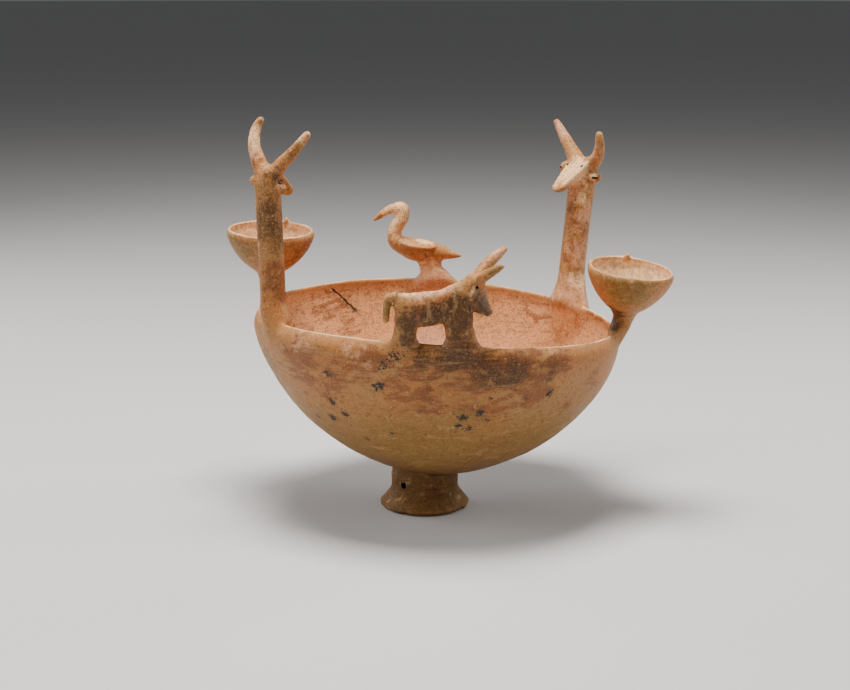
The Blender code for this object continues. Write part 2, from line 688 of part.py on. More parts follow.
def bird():
    """A bird with a curved neck and a long bill, its wings laid along its back."""
    size = BIRD_SIZE
    middle = Vector((0, 0, 0))
    sideways = Vector((0, 1, 0))
    trunk = limb("bird_trunk", sized(BIRD_TRUNK, size), BROAD_LIMB_SIDES)
    squash(trunk, middle, sideways, BIRD_SLIMNESS)
    stand = limb("bird_stand", sized(BIRD_STAND, size), BROAD_LIMB_SIDES, domed_end=False)
    squash(stand, middle, sideways, BIRD_STAND_SLIMNESS)
    pieces = [trunk, stand]
    pieces.append(limb("bird_neck", sized(BIRD_NECK, size)))
    pieces.append(ball("bird_head", Vector(BIRD_HEAD) * size, Vector(BIRD_HEAD_HALF_SIZES) * size))
    pieces.append(limb("bird_bill", sized(BIRD_BILL, size)))
    raised = Matrix.Rotation(-BIRD_WING_RISE, 4, "Y")
    for side in (1, -1):
        spread = raised @ Matrix.Rotation(-side * BIRD_WING_DROOP, 4, "X")
        spot = Vector((BIRD_WING[0], side * BIRD_WING[1], BIRD_WING[2])) * size
        pieces.append(ball(f"bird_wing_{side}", spot, Vector(BIRD_WING_HALF_SIZES) * size, spread))
    place_all(pieces, seat(BIRD_PLACE, BIRD_FACES))
    upward = Vector((0, 0, BIRD_FOOT_RISE * size))
    forward, width, thickness = BIRD_FOOT
    angle = BIRD_PLACE + forward * size / LIP_RADIUS
    pieces.append(collar(
        "bird_collar", angle, upward, width * size, thickness * size,
        BIRD_FOOT_FLARE, BIRD_FOOT_DEPTH * size,
    ))
    return pieces


def make_vessel():
    clear_scene()
    parts = new_collection("red_polished_ware_bowl")
    body = bowl()
    pieces = [foot()]
    holes = [foot_hole()]
    for name, sizes in CUPS.items():
        pieces += cup(name, **sizes)
    for name, sizes in PROTOMES.items():
        figure, eyes = protome(name, **sizes)
        pieces += figure
        holes += eyes
    figure, eyes = beast()
    pieces += figure + bird()
    holes += eyes
    body = combine(body, pieces, "UNION")
    body = combine(body, holes, "DIFFERENCE")
    body.name = "bowl_with_figures"
    bpy.context.scene.collection.objects.unlink(body)
    parts.objects.link(body)
    body.data.materials.clear()
    body.data.materials.append(fired_clay())
    body.data.shade_smooth()
    body.data.set_sharp_from_angle(angle=math.radians(40))


make_vessel()
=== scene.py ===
"""The look of the red polished ware bowl: its worn, burnished and fire-clouded clay.

The vessel is one piece of clay, and so it is here. The part's own forms are made finer, run
together as wet clay is, dented and worn as the real surface is, and cut where the potter pricked
and slit them. One clay finish then follows its stains and its painted light and shade. Metres, +Z up, the
front is -Y.
"""

import math

import bmesh
import bpy
import numpy as np
from mathutils import Matrix, Vector, noise


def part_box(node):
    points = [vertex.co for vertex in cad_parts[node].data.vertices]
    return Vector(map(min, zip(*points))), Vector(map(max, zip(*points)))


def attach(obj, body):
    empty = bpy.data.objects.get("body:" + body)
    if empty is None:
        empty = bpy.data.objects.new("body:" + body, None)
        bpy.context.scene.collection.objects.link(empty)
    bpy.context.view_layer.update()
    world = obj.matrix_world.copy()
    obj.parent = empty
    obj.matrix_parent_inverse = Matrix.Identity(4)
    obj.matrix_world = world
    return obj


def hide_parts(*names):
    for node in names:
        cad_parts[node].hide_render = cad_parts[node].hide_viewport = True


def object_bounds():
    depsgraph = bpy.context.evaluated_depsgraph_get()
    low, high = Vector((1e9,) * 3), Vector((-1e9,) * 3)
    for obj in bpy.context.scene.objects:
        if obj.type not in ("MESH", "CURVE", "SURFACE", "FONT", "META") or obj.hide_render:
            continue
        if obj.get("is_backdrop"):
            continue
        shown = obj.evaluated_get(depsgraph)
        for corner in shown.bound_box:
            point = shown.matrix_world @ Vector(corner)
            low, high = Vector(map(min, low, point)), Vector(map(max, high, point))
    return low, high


# The bowl, turned true and then settled: its rim leans, warps and tips as the real one does.
BOWL_X = -0.0035
BOWL_Y = 0.002
BOWL_RADIUS = 0.1667
BOWL_DEPTH = 0.1427
BOWL_FULLNESS = 1.79
BOWL_WALL = 0.0064
BOWL_FLOOR = 0.0105
BOWL_TILT = math.radians(3.4)
BOWL_LIP = 0.004
BOWL_LIP_RISE = 0.0048
BOWL_DRAW_IN = 0.003
BOWL_SHOULDER = 0.01
RIM_LEAN = -0.0025
RIM_WARP = 0.0034
RIM_WARP_DEPTH = 0.06
# In the order that a dish is made from.
BOWL_FORM = (BOWL_FULLNESS, BOWL_WALL, BOWL_FLOOR, BOWL_LIP, BOWL_LIP_RISE, BOWL_DRAW_IN)

# The foot, which the potter set a little to the left of the bowl's lowest point.
FOOT_HEIGHT = 0.034
FOOT_SHIFT = -0.0145
FOOT_NECK_RADIUS = 0.0306
FOOT_BASE_RADIUS = 0.0414
FOOT_FLARE_HEIGHT = 0.019
FOOT_FLARE_POWER = 1.35
FOOT_EDGE = 0.0042
FOOT_WALL = 0.0048
FOOT_ROOF = 0.0055
FOOT_HOLE_RADIUS = 0.0027
FOOT_HOLE_HEIGHT = 0.0243
FOOT_HOLE_ANGLE = math.radians(231)
# How far the foot reaches into the floor, as a share of it, and as shares of the foot's own wall,
# how far in its poked hole starts and how its roof is rounded: (inwards, down).
FOOT_IN_FLOOR = 0.55
FOOT_HOLE_START = 2.2
FOOT_ROOF_EDGE = ((1.8, 0.3), (3, 0))

# The two cups. Each stands over the rim on a stem: its place along the rim, how high and how far
# out its own rim's middle is, how far out its stem is rooted, its radius and depth, its tips
# towards +X and towards the front, and its lugs: (angle, how far out of the lip's middle, how far
# under the lip's crest).
CUP_WALL = 0.0038
CUP_FLOOR = 0.01
CUP_FULLNESS = 1.55
CUP_LIP = 0.0028
CUP_LIP_RISE = 0.003
CUP_DRAW_IN = 0.0008
CUP_SHOULDER = 0.004
CUP_LUG_RADIUS = 0.0032
CUP_LUG_HEIGHT = 0.0046
CUP_LUG_SLIMNESS = 0.9
CUP_STEM_RADIUS = 0.0092
CUP_FORM = (CUP_FULLNESS, CUP_WALL, CUP_FLOOR, CUP_LIP, CUP_LIP_RISE, CUP_DRAW_IN)
CUPS = {
    "left": {
        "place": math.radians(164.5),
        "height": 0.0645,
        "outward": 0.0003,
        "root": 0.001,
        "radius": 0.0408,
        "depth": 0.042,
        "tips": (math.radians(2.7), math.radians(4)),
        "lugs": ((math.radians(72), 0.0, 0.0005), (math.radians(266), 0.002, 0.0045)),
    },
    "right": {
        "place": math.radians(350),
        "height": 0.059,
        "outward": 0.0145,
        "root": 0.0042,
        "radius": 0.0392,
        "depth": 0.042,
        "tips": (math.radians(6.7), math.radians(6.3)),
        "lugs": ((math.radians(91), 0.0, 0.001), (math.radians(266), 0.002, 0.0045)),
    },
}

# The two horned heads on long necks. A neck's height runs from the rim to the fork of the horns,
# and its lean and its radius are its own. Its head is (how far forward its brow lies, how far it
# reaches, its radius). The middles of its ears are (forward, to the figure's left, up) from that
# fork, and a horn's points have their radius as well.
NECK_HEIGHT = 0.137
MUZZLE_RADIUS = 0.008
HEAD_FLATNESS = 0.8
# The head's points: (share of its length, how far under the brow, how far it has thinned to the
# muzzle), and the muzzle's own, set back from its end and under the brow by shares of its radius.
HEAD_FORM = ((0.04, 0.38, 0.0), (0.44, 0.3, 0.45))
MUZZLE_FORM = (0.8, 0.25)
FACE_SLOPE = math.radians(40)
EYES_DOWN = 0.0093
EYE_SPREAD = 0.0098
EAR_HALF_SIZES = (0.0054, 0.0078, 0.0056)
PROTOMES = {
    "left": {
        "place": math.radians(207.6),
        "faces": math.radians(63),
        "lean": math.radians(1.7),
        "neck": 0.0111,
        "head": (0.003, 0.0352, 0.008),
        "ears": ((-0.0015, 0.0086, -0.015), (0.0, -0.0116, -0.0208)),
        "horns": (
            ((0.0, 0.003, -0.01, 0.0078), (0.001, 0.009, 0.002, 0.0066), (0.002, 0.0138, 0.015, 0.0056),
             (0.006, 0.0142, 0.028, 0.0047), (0.008, 0.0105, 0.0362, 0.0034)),
            ((0.0, -0.005, -0.011, 0.0074), (0.003, -0.013, 0.0, 0.006),
             (0.006, -0.023, 0.0105, 0.005), (0.008, -0.0355, 0.025, 0.0034)),
        ),
    },
    "right": {
        "place": math.radians(38.2),
        "faces": math.radians(218),
        "lean": math.radians(7.5),
        "neck": 0.0126,
        "head": (0.0055, 0.037, 0.014),
        "ears": ((0.0, 0.0146, -0.0168), (0.007, -0.0168, -0.0092)),
        "horns": (
            ((0.0, 0.005, -0.007, 0.0086), (0.001, 0.0168, -0.0003, 0.0064), (0.005, 0.0262, 0.011, 0.0053),
             (0.0085, 0.029, 0.0248, 0.0038)),
            ((0.002, -0.006, -0.006, 0.009), (0.0026, -0.0148, 0.006, 0.0066),
             (0.0034, -0.0258, 0.02, 0.0052), (0.004, -0.0358, 0.0325, 0.0036)),
        ),
    },
}

# The beast and the bird keep their proportions: every size below is a share of the figure's own
# size, and a limb's points are (forward, to the figure's left, up, radius) from the rim.
BEAST_SIZE = 0.1
BEAST_PLACE = math.radians(268.2)
BEAST_FACES = math.radians(0)
BEAST_SLIMNESS = 0.62
BEAST_LEG_SLIMNESS = 0.84
BEAST_TRUNK = (
    (-0.235, 0, 0.318, 0.112), (-0.16, 0, 0.298, 0.136), (-0.06, 0, 0.292, 0.148), (0.1, 0, 0.32, 0.136),
    (0.2, 0, 0.375, 0.128), (0.29, 0, 0.445, 0.106), (0.35, 0, 0.505, 0.092),
)
BEAST_LEGS = (
    ((-0.205, 0, 0.355, 0.072), (-0.212, 0, 0.22, 0.098), (-0.206, 0, 0.1, 0.083),
     (-0.21, 0, -0.02, 0.07)),
    ((0.205, 0, 0.405, 0.08), (0.216, 0, 0.25, 0.119), (0.22, 0, 0.1, 0.11),
     (0.225, 0, -0.02, 0.094)),
)
BEAST_HEAD = (
    (0.375, 0, 0.5, 0.1), (0.385, 0, 0.425, 0.1), (0.402, 0, 0.338, 0.088), (0.462, 0, 0.27, 0.044),
)
BEAST_HEAD_SLIMNESS = 0.8
BEAST_FACE = (0.405, 0.0, 0.45)
BEAST_FACE_SLOPE = math.radians(71)
BEAST_FACE_TURN = math.radians(-40)
BEAST_EYES = ((0.355, -0.044, 0.48), (0.43, 0.045, 0.478))
BEAST_EAR = (0.34, 0.08, 0.44)
BEAST_EAR_HALF_SIZES = (0.026, 0.024, 0.07)
BEAST_EAR_DROOP = math.radians(25)
BEAST_TAIL = (
    (-0.27, 0, 0.395, 0.046), (-0.35, 0, 0.385, 0.036), (-0.368, 0, 0.31, 0.03),
    (-0.375, 0, 0.205, 0.031),
)
BEAST_HORNS = (
    ((0.355, 0.02, 0.515, 0.06), (0.45, 0.09, 0.64, 0.054), (0.535, 0.14, 0.715, 0.047),
     (0.6, 0.168, 0.765, 0.03)),
    ((0.35, -0.02, 0.515, 0.054), (0.44, -0.095, 0.588, 0.044), (0.515, -0.145, 0.642, 0.037),
     (0.566, -0.172, 0.674, 0.026)),
)
# Where each pair of legs meets the rim: (forward, half width, half thickness).
BEAST_FEET = ((-0.214, 0.084, 0.07), (0.226, 0.111, 0.086))
BEAST_FEET_FLARE = 1.75
BEAST_FEET_RISE = 0.16
BEAST_FEET_DEPTH = 0.32

BIRD_SIZE = 0.1
BIRD_PLACE = math.radians(92.0)
BIRD_FACES = math.radians(180)
BIRD_SLIMNESS = 1.05
BIRD_TRUNK = (
    (-0.29, 0, 0.231, 0.016), (-0.19, 0, 0.24, 0.044), (-0.06, 0, 0.264, 0.082), (0.08, 0, 0.278, 0.108),
    (0.19, 0, 0.297, 0.111), (0.3, 0, 0.334, 0.088),
)
BIRD_STAND = (
    (0.06, 0, 0.26, 0.13), (0.024, 0, 0.16, 0.114), (0.018, 0, 0.1, 0.112), (0, 0, -0.01, 0.13),
)
BIRD_STAND_SLIMNESS = 0.72
# Where the stand meets the rim: (forward, half width, half thickness).
BIRD_FOOT = (-0.004, 0.122, 0.084)
BIRD_FOOT_FLARE = 1.8
BIRD_FOOT_RISE = 0.1
BIRD_FOOT_DEPTH = 0.34
BIRD_NECK = (
    (0.27, 0, 0.325, 0.085), (0.358, 0, 0.366, 0.08), (0.382, 0, 0.44, 0.068), (0.356, 0, 0.52, 0.072),
    (0.312, 0, 0.6, 0.074), (0.295, 0, 0.68, 0.07),
)
BIRD_HEAD = (0.318, 0, 0.698)
BIRD_HEAD_HALF_SIZES = (0.082, 0.07, 0.076)
BIRD_BILL = (
    (0.32, 0, 0.708, 0.062), (0.415, 0, 0.695, 0.049), (0.505, 0, 0.642, 0.036), (0.575, 0, 0.59, 0.02),
)
BIRD_WING = (0.14, 0.085, 0.358)
BIRD_WING_HALF_SIZES = (0.18, 0.076, 0.022)
BIRD_WING_DROOP = math.radians(28)
BIRD_WING_RISE = math.radians(7)

# Each figure is smoothed onto the rim by a collar of clay. A ring of it is (how far up towards the
# figure, or down towards the end of the root; how much of the flare; how much of the thickness; how
# much of the collar's own shift towards the inside of the bowl).
ROOT_DEPTH = 0.043
COLLAR_RINGS = (
    (1.0, -0.14, 0.88, 0.0), (0.45, 0.16, 0.98, 0.4), (0.12, 0.46, 1.05, 0.9), (-0.1, 0.88, 0.9, 0.8),
    (-0.3, 1.0, 0.62, 0.5), (-0.6, 0.75, 0.27, 0.2), (-1.0, 0.1, 0.0, 0.0),
)
# Half the thickness that a collar starts from inside the wall, as a share of the wall.
COLLAR_HIDDEN = 0.36
NECK_COLLAR_FLARE = 1.65
NECK_COLLAR_FULLNESS = 1.1
NECK_COLLAR_INSET = 0.003
STEM_COLLAR_FLARE = 1.6
STEM_COLLAR_FULLNESS = 0.62

# How a neck or a stem swells on its way up: (share of the way, share of its own radius). Its root
# lies inside the wall: (how far down, how thick), again as shares of its radius.
NECK_FORM = ((0.04, 1.06), (0.17, 1.02), (0.45, 1.0), (0.75, 1.01), (0.88, 1.04), (0.925, 0.94))
STEM_FORM = ((0.1, 0.9), (0.5, 0.98), (0.85, 1.04), (1.0, 1.13))
STEM_TOP = (0.55, 1.46)
UPRIGHT_ROOT = (1.8, 0.28)

EYE_RADIUS = 0.0012
EYE_DEPTH = 0.0018

WELD = 0.00001

# What is slit and pricked into the heads. An ear's slit is turned outwards by its angle, and the
# rims of the eyes have worn wider than in the plain form.
EAR_SLIT_TURN = math.radians(52)
EAR_SLIT_OUT = 0.0052
EAR_SLIT_HALF_SIZES = (0.0026, 0.0036, 0.001)
EYE_WEAR = 1.25
EYE_TAPER = 0.7
# The small deep holes beside the left head's brow and over the beast's near ear: (place, half sizes).
DEEP_HOLES = (
    ((-0.1396, -0.076, 0.3092), (0.0024, 0.011, 0.002)),
    ((0.0262, -0.1672, 0.2338), (0.0013, 0.0026, 0.0011)),
)
# How much wider the roots of the necks and stems spread over the crest of the rim.
NECK_FILLET = 0.24
STEM_FILLET = 0.12
# The clay smoothed out further along the rim on the right of the right neck and of the bird, as
# (how far along, width, flare) with the width as a share of the upright's own.
NECK_SIDE_ROOT = (0.0045, 0.75, 2.4)
BIRD_SIDE_ROOT = (0.006, 0.7, 2.6)
# How much further apart the clay around the beast's feet stands.
FEET_APART = 1.07
# How far the beast's rump is rounded, as a share of a full dome.
RUMP_ROUNDNESS = 0.7
# How much wider than in the plain form the hole in the foot has worn.
FOOT_HOLE_WEAR = 1.15
# The short strokes over the beast's rump, as shares of its size like the rest of it.
RUMP_SCRATCHES = (
    ((-0.262, -0.05, 0.436, 0.006), (-0.238, -0.022, 0.447, 0.008), (-0.214, 0.004, 0.44, 0.006)),
    ((-0.236, -0.062, 0.418, 0.005), (-0.208, -0.04, 0.432, 0.008), (-0.184, -0.012, 0.438, 0.006)),
    ((-0.292, -0.04, 0.42, 0.005), (-0.28, -0.02, 0.436, 0.007), (-0.262, 0.006, 0.44, 0.005)),
)
# The crack down the inside of the wall: (degrees about the bowl, how far below the rim, width as a
# share of its usual one).
CRACK_WIDTH = 0.0007
CRACK = (
    (134.2, 0.0005, 0.4), (133.0, 0.0022, 0.8), (131.6, 0.0036, 0.7), (130.3, 0.006, 1.0),
    (129.2, 0.0088, 1.1), (128.6, 0.0104, 0.8), (127.0, 0.0132, 0.9), (126.2, 0.016, 0.7),
    (124.9, 0.019, 0.9), (124.2, 0.0222, 0.8), (122.6, 0.0246, 0.8), (122.1, 0.027, 0.6),
    (121.2, 0.0288, 0.4),
)

# How the hands and the wear have moved the surface, in waves, dents and grain: (how far across, how
# high). The foot is rougher, up to just under the seam at its top: (how far above it, reach, depth).
SURFACE_LUMPS = ((0.045, 0.0005), (0.013, 0.0002), (0.0042, 0.00008))
FOOT_LUMPS = (0.0065, 0.00055)
FOOT_LUMPS_FADE = 0.004
SEAM = (0.0008, 0.0034, 0.0008)
NOISE_APART = (17.3, 5.1, 9.7)
# How far a vertex stands out on a full edge, and sinks into a full hollow, against clay that is smoothed in
# so many steps.
PROUD_REACH = 0.0006
PROUD_STEPS = 3
# How the creases between forms are filled: from what height, in how many rounds and steps, the least
# hollow that counts as a crease, and how much of the way to smooth clay each step and round goes.
FILL_FROM = 0.1
FILL_FADE = 0.01
FILL_ROUNDS = 8
FILL_STEPS = 7
FILL_LEAST = 0.00002
FILL_SHARE = 0.8
SMOOTH_SHARE = 0.08
SMOOTH_MORE = 0.32
# Where they are left crisp: (x, y, z, how far across, share kept).
CRISP = (
    (-0.15, -0.075, 0.312, 0.04, 0.85), (0.13, 0.108, 0.3, 0.042, 0.85),
    (0.026, -0.158, 0.232, 0.026, 0.95), (-0.018, 0.164, 0.22, 0.032, 0.8),
    (-0.0088, -0.158, 0.19, 0.02, 0.9), (-0.046, -0.1584, 0.212, 0.024, 0.95),
)
# How far the pale of a lip, partly wear and partly painted highlight, reaches from its crest, as a
# share of its thickness. It stops short of the middle of each figure's root.
BOWL_LIP_WEAR_AND_HIGHLIGHT = 0.52
CUP_LIP_WEAR_AND_HIGHLIGHT = 0.85
LIP_WEAR_AND_HIGHLIGHT_GAP = 0.02
LIP_WEAR_AND_HIGHLIGHT_FADE = 0.005
# How softly a dish's inner face begins, across its wall and under its lip, as shares of the wall.
INNER_FADE = 0.25
UNDER_LIP_FADE = 1.5
# Chips and dents: (x, y, z, how far across, how deep).
CHIPS = (
    (-0.0366, -0.035, 0.001, 0.006, 0.0014), (0.015, -0.021, 0.003, 0.009, 0.0012),
    (-0.056, 0.014, 0.002, 0.008, 0.0012), (0.004, 0.035, 0.002, 0.011, 0.0013),
    (-0.04, -0.1623, 0.185, 0.004, 0.0007), (0.103, -0.126, 0.179, 0.005, 0.0007),
    (-0.129, -0.097, 0.188, 0.004, 0.0006), (0.07, 0.151, 0.179, 0.006, 0.0008),
    (-0.09, 0.134, 0.186, 0.005, 0.0007), (-0.129, 0.03, 0.252, 0.005, 0.0009),
    (0.133, -0.04, 0.233, 0.005, 0.0007), (0.2, -0.04, 0.223, 0.005, 0.0007),
    (-0.1419, 0.0742, 0.1552, 0.003, 0.0014),
)

# The tones that firing, slip and wear have left, with some painted light and shade among them, each a share
# painted on every vertex.
TONES = ("red", "dark", "cream", "ochre", "pink", "speckle", "soot", "chip")
# Where each lies on one face of the clay or on both: (x, y, z and reach in millimetres, strength).
STAINS_AND_PAINTED_LIGHT = {
    ("outside", "red"): (
        (62.5, -148.4, 165.3, 55, 0.9), (20.8, -162.5, 160, 60, 0.9), (-12.1, -156.4, 144.2, 42, 0.6),
        (53.7, -139.9, 128.5, 28, 0.6), (-35, -156, 155, 50, 0.6), (-96.6, -126, 143.1, 40, 0.7),
        (-123, -109.1, 156.7, 45, 0.8), (126, -87.7, 144, 34, 0.4), (75, -133, 136, 28, 0.8),
        (95, -127, 164, 26, 0.85), (-10, -150, 135, 26, 0.9), (40, -157, 160, 36, 1.0),
        (104.5, -98.8, 118.5, 11, 1.0), (-60, -148, 165, 40, 0.6), (150, 40, 145, 70, 0.8),
        (30, 145, 130, 80, 0.8), (-130, 80, 145, 75, 0.8), (-140, -78.2, 222.2, 35, 0.8),
        (130, 100, 245, 28, 0.5), (120, 99, 220, 26, 0.5), (-8, -172, 213, 36, 0.9),
        (-128.1, 33.1, 230, 32, 0.9), (150, -34, 185, 22, 1.0), (-9, -30, 15, 18, 0.45),
    ),
    ("outside", "dark"): (
        (-10, -150, 135, 26, 0.35), (42, -156, 157, 26, 0.75), (8.5, -165, 180, 36, 0.8),
        (30, -160, 164, 40, 0.6), (-20, -162, 176, 24, 0.6), (58, -150, 160, 34, 0.55),
        (-2, -158, 150, 40, 0.35), (90, -130, 156, 30, 0.35), (-100, -126, 160, 40, 0.3),
        (-70, 135, 150, 60, 0.6), (135, 70, 115, 40, 0.5), (48, -113, 95, 40, 0.3),
        (-149, -83.9, 275, 48, 0.65), (-145, -80, 313, 24, 0.6), (-150, -82, 225, 26, 0.22),
        # The six dark spots from (12.4, -170, 212) to (25, -170, 230) lie on the beast below its back:
        # partly its own dark clay, partly painted shade on its sides and belly.
        (-129, -80, 333, 12, 0.5), (116, 95, 264, 14, 0.9), (12.4, -170, 212, 32, 1.0),
        (30, -164, 212, 30, 1.0), (-8, -174, 209, 27, 1.0), (-30, -168, 205, 24, 0.8),
        (-30, -164, 192, 18, 0.7), (25, -170, 230, 14, 0.7), (-15, 150, 210, 12, 0.5),
        (-125, 35, 233, 7, 0.8), (149, -34.5, 187, 17, 1.0), (151, -32, 176, 12, 1.0),
        (-18, 2, 12, 70, 0.5),
    ),
    ("outside", "ochre"): (
        (-92.4, -61.3, 78.1, 80, 0.8), (-21, -112, 82.6, 80, 1.0), (80, -90, 90, 75, 0.8),
        (20, -145, 123, 30, 0.7), (-153.8, -54.7, 145, 40, 0.8), (60, 90, 80, 90, 0.7),
        (-80, 80, 80, 90, 0.7), (-139, -78, 260, 24, 0.6), (-125, -84, 339, 24, 0.4),
        (-48, -158.4, 215, 14, 0.9), (40, -172, 248, 14, 0.9), (-190, 20, 235, 35, 0.8),
        (160, -64, 210, 40, 0.9),
    ),
    ("outside", "pink"): (
        (97, -127.1, 174, 22, 0.4), (-122.4, -114.4, 174, 26, 0.6), (-70, -145, 174, 30, 0.5),
        (-165, -69, 342, 22, 0.9), (133, 96, 220, 30, 0.7), (135, 99, 255, 24, 0.7),
        # (-20, -160, 232) and (0, -156, 232), on the beast's back, are partly its own pink, partly painted
        # highlight.
        (138, 90, 323, 22, 0.7), (112, 134, 333, 22, 0.8), (-20, -160, 232, 18, 1.0),
        (0, -156, 232, 18, 1.0), (43, -144, 257, 14, 0.8), (15, 162.4, 211, 12, 0.8),
    ),
    ("outside", "soot"): (
        (-94.9, -116.4, 126, 7.4, 1.0), (-95.9, -101.5, 109.1, 8.1, 1.0),
        (-84.7, -117.1, 115.7, 7.4, 0.9), (-109.3, -82.4, 105.2, 5.4, 0.8),
        (-54.5, -149.6, 147.7, 8.8, 0.8), (-49.1, -156.9, 168, 10.8, 0.6),
        (15.4, -144.2, 119.9, 8.1, 0.9), (29.6, -144.2, 124.2, 6.8, 0.9), (34.9, -138, 115.7, 6.8, 0.7),
        (11.3, -139.3, 110.9, 6.8, 0.8), (38.6, -148.9, 137.3, 4.1, 0.9), (88.4, -124, 135.7, 6.8, 0.9),
        (66.7, -136.6, 134.4, 4.7, 0.7), (-43.7, -124.8, 101, 4.1, 0.9),
        (-66.7, -104.9, 91.4, 4.7, 0.9), (-98, -129.5, 153.4, 8.1, 0.6), (-40, -159, 176, 9.5, 0.7),
        (20, -137, 108, 8.1, 0.6), (110, 108, 130, 16.2, 0.6), (-50, 140, 110, 18.9, 0.6),
    ),
    ("inside", "speckle"): (
        (-100, 120, 165, 70, 1.0), (-30, 145, 145, 60, 0.7), (-130, 40, 145, 70, 0.7),
        (90, 120, 150, 90, 0.6), (130, 30, 150, 70, 0.5),
    ),
    ("inside", "red"): (
        (-110, 115, 160, 65, 0.55), (90, 125, 165, 50, 0.35),
    ),
    ("inside", "ochre"): (
        (30, 150, 165, 60, 0.4),
    ),
    ("inside", "cream"): (
        # (118, 100, 164) is painted light on the downward-facing collar under the right neck; the two wide
        # ones in the cups are partly their own pale clay, partly painted light.
        (118, 100, 164, 36, 0.9), (166.2, -28.4, 215, 90, 1.0), (-160.6, 45, 235, 90, 0.5),
    ),
    ("inside", "pink"): (
        (-15, 140, 120, 60, 0.65), (166.2, -28.4, 215, 90, 1.0),
    ),
    ("outside", "cream"): (
        # (-163, -74, 250) and (-163, -74, 285), down the left neck's left side, are partly its own pale
        # clay, partly painted highlight.
        (-163, -74, 250, 16, 0.5), (-163, -74, 285, 16, 0.5), (-165, -69, 345, 24, 0.7),
        (-120, -86, 350, 16, 0.6), (128.5, 97.1, 274.9, 18, 0.8), (132, 90, 195, 26, 0.55),
        (123, 100, 298, 28, 1.0), (116.2, 103.3, 298, 22, 1.0), (140, 96, 295, 12, 0.7),
        # (-30, -160, 233) and (-10, -156, 234), on the beast's back, are partly its own pale clay, partly
        # painted highlight.
        (109, 102, 285, 16, 0.9), (-30, -160, 233, 16, 0.9), (-10, -156, 234, 16, 0.7),
        # (-18, 156, 228), on the bird's wings, is partly their own cream, partly painted highlight.
        (-43, 160, 256, 14, 0.8), (-18, 156, 228, 18, 1.0), (22.6, -168.4, 229.6, 6, 0.6),
        (-48.3, 160.6, 248.1, 22, 1.0), (-47, 159, 236, 20, 0.6), (-13.7, 154.4, 198, 24, 0.5),
        (-48, -20, 10, 18, 0.3), (12, -20, 12, 16, 0.32), (-34, -24, 28, 12, 0.28),
    ),
    ("outside", "speckle"): (
        (116, 105, 268, 24, 1.0), (117, 95, 260, 22, 1.0), (120, 100, 250, 20, 0.9),
        (137.7, 100.1, 250.5, 14, 0.9), (125, 95, 220, 40, 0.5), (-145, -85, 260, 60, 0.6),
        (-8, -172, 210, 40, 0.8), (-18, 2, 12, 70, 0.8),
    ),
    ("both", "pink"): (
        (125, 95, 185, 45, 0.6), (-13.7, 154.4, 190, 36, 0.9),
    ),
    ("outside", "chip"): (
        (134.7, 97, 304.4, 3, 1.0),
    ),
}

# The clay's colours, some of which also serve as painted light and shade.
CLAY_TAN = (0.36, 0.172, 0.052, 1)
CLAY_ORANGE = (0.39, 0.145, 0.034, 1)
CLAY_OCHRE = (0.235, 0.122, 0.024, 1)
CLAY_SALMON = (0.6, 0.248, 0.094, 1)
CLAY_BUFF = (0.68, 0.35, 0.155, 1)
CLAY_PINK = (0.56, 0.265, 0.14, 1)
CLAY_RED = (0.2, 0.056, 0.012, 1)
CLAY_DARK = (0.06, 0.024, 0.006, 1)
CLAY_CREAM = (0.87, 0.54, 0.27, 1)
CLAY_PALE = (0.54, 0.3, 0.125, 1)
CLAY_WORN_AND_HIGHLIGHT = (0.78, 0.51, 0.28, 1)
CLAY_FLECK = (0.035, 0.02, 0.012, 1)
CLAY_SOOT_AND_HOLE_SHADE = (0.012, 0.011, 0.011, 1)
CLAY_CHIP = (0.42, 0.4, 0.36, 1)
# Its patterns: (how many to the metre, detail, roughness, distortion).
CLOUDS = (26.0, 5.0, 0.6, 0.4)
MOTTLE = (120.0, 5.0, 0.62, 0.3)
SMALL_SPOTS = (300.0, 4.0, 0.65, 0.2)
FINE_SPOTS = (620.0, 3.0, 0.65)
SOOT_SPOTS = (300.0, 5.0, 0.75, 0.6)
PATCHES = (42.0, 6.0, 0.62, 0.8)
UPRIGHT_PATCHES = (66.0, 6.0, 0.62, 0.8)
STREAKS = (1.0, 4.0, 0.6, 0.5)
FLECK_SCALE = 330.0
GRIT_SCALE = 240.0
# How they are drawn out along each axis.
ROUND_THE_BOWL = (22.0, 22.0, 260.0)
UPWARD = (170.0, 170.0, 40.0)
FLATTENED = (1.0, 1.0, 2.4)
# The heights between which the finish changes, and the shares that it has at each where they
# aren't 0 and 1.
RIM_BAND = (0.186, 0.2)
LOW_OCHRE_AND_SHADE_BAND = (0.15, 0.105)
UPPER_INNER_LIGHT_BAND = (0.12, 0.185, 0.0, 0.5)
LOWEST_SHADE_BAND = (0.115, 0.045, 0.0, 0.42)
GRAIN_BAND = (0.18, 0.27, 0.45, 0.95)
BOWL_GRAIN_BAND = (0.2, 0.19, 0.0, 0.45)
DULL_FOOT_BAND = (0.034, 0.03, 0.0, 0.2)
SHEEN_ROUGHNESS = (0.44, 0.66)

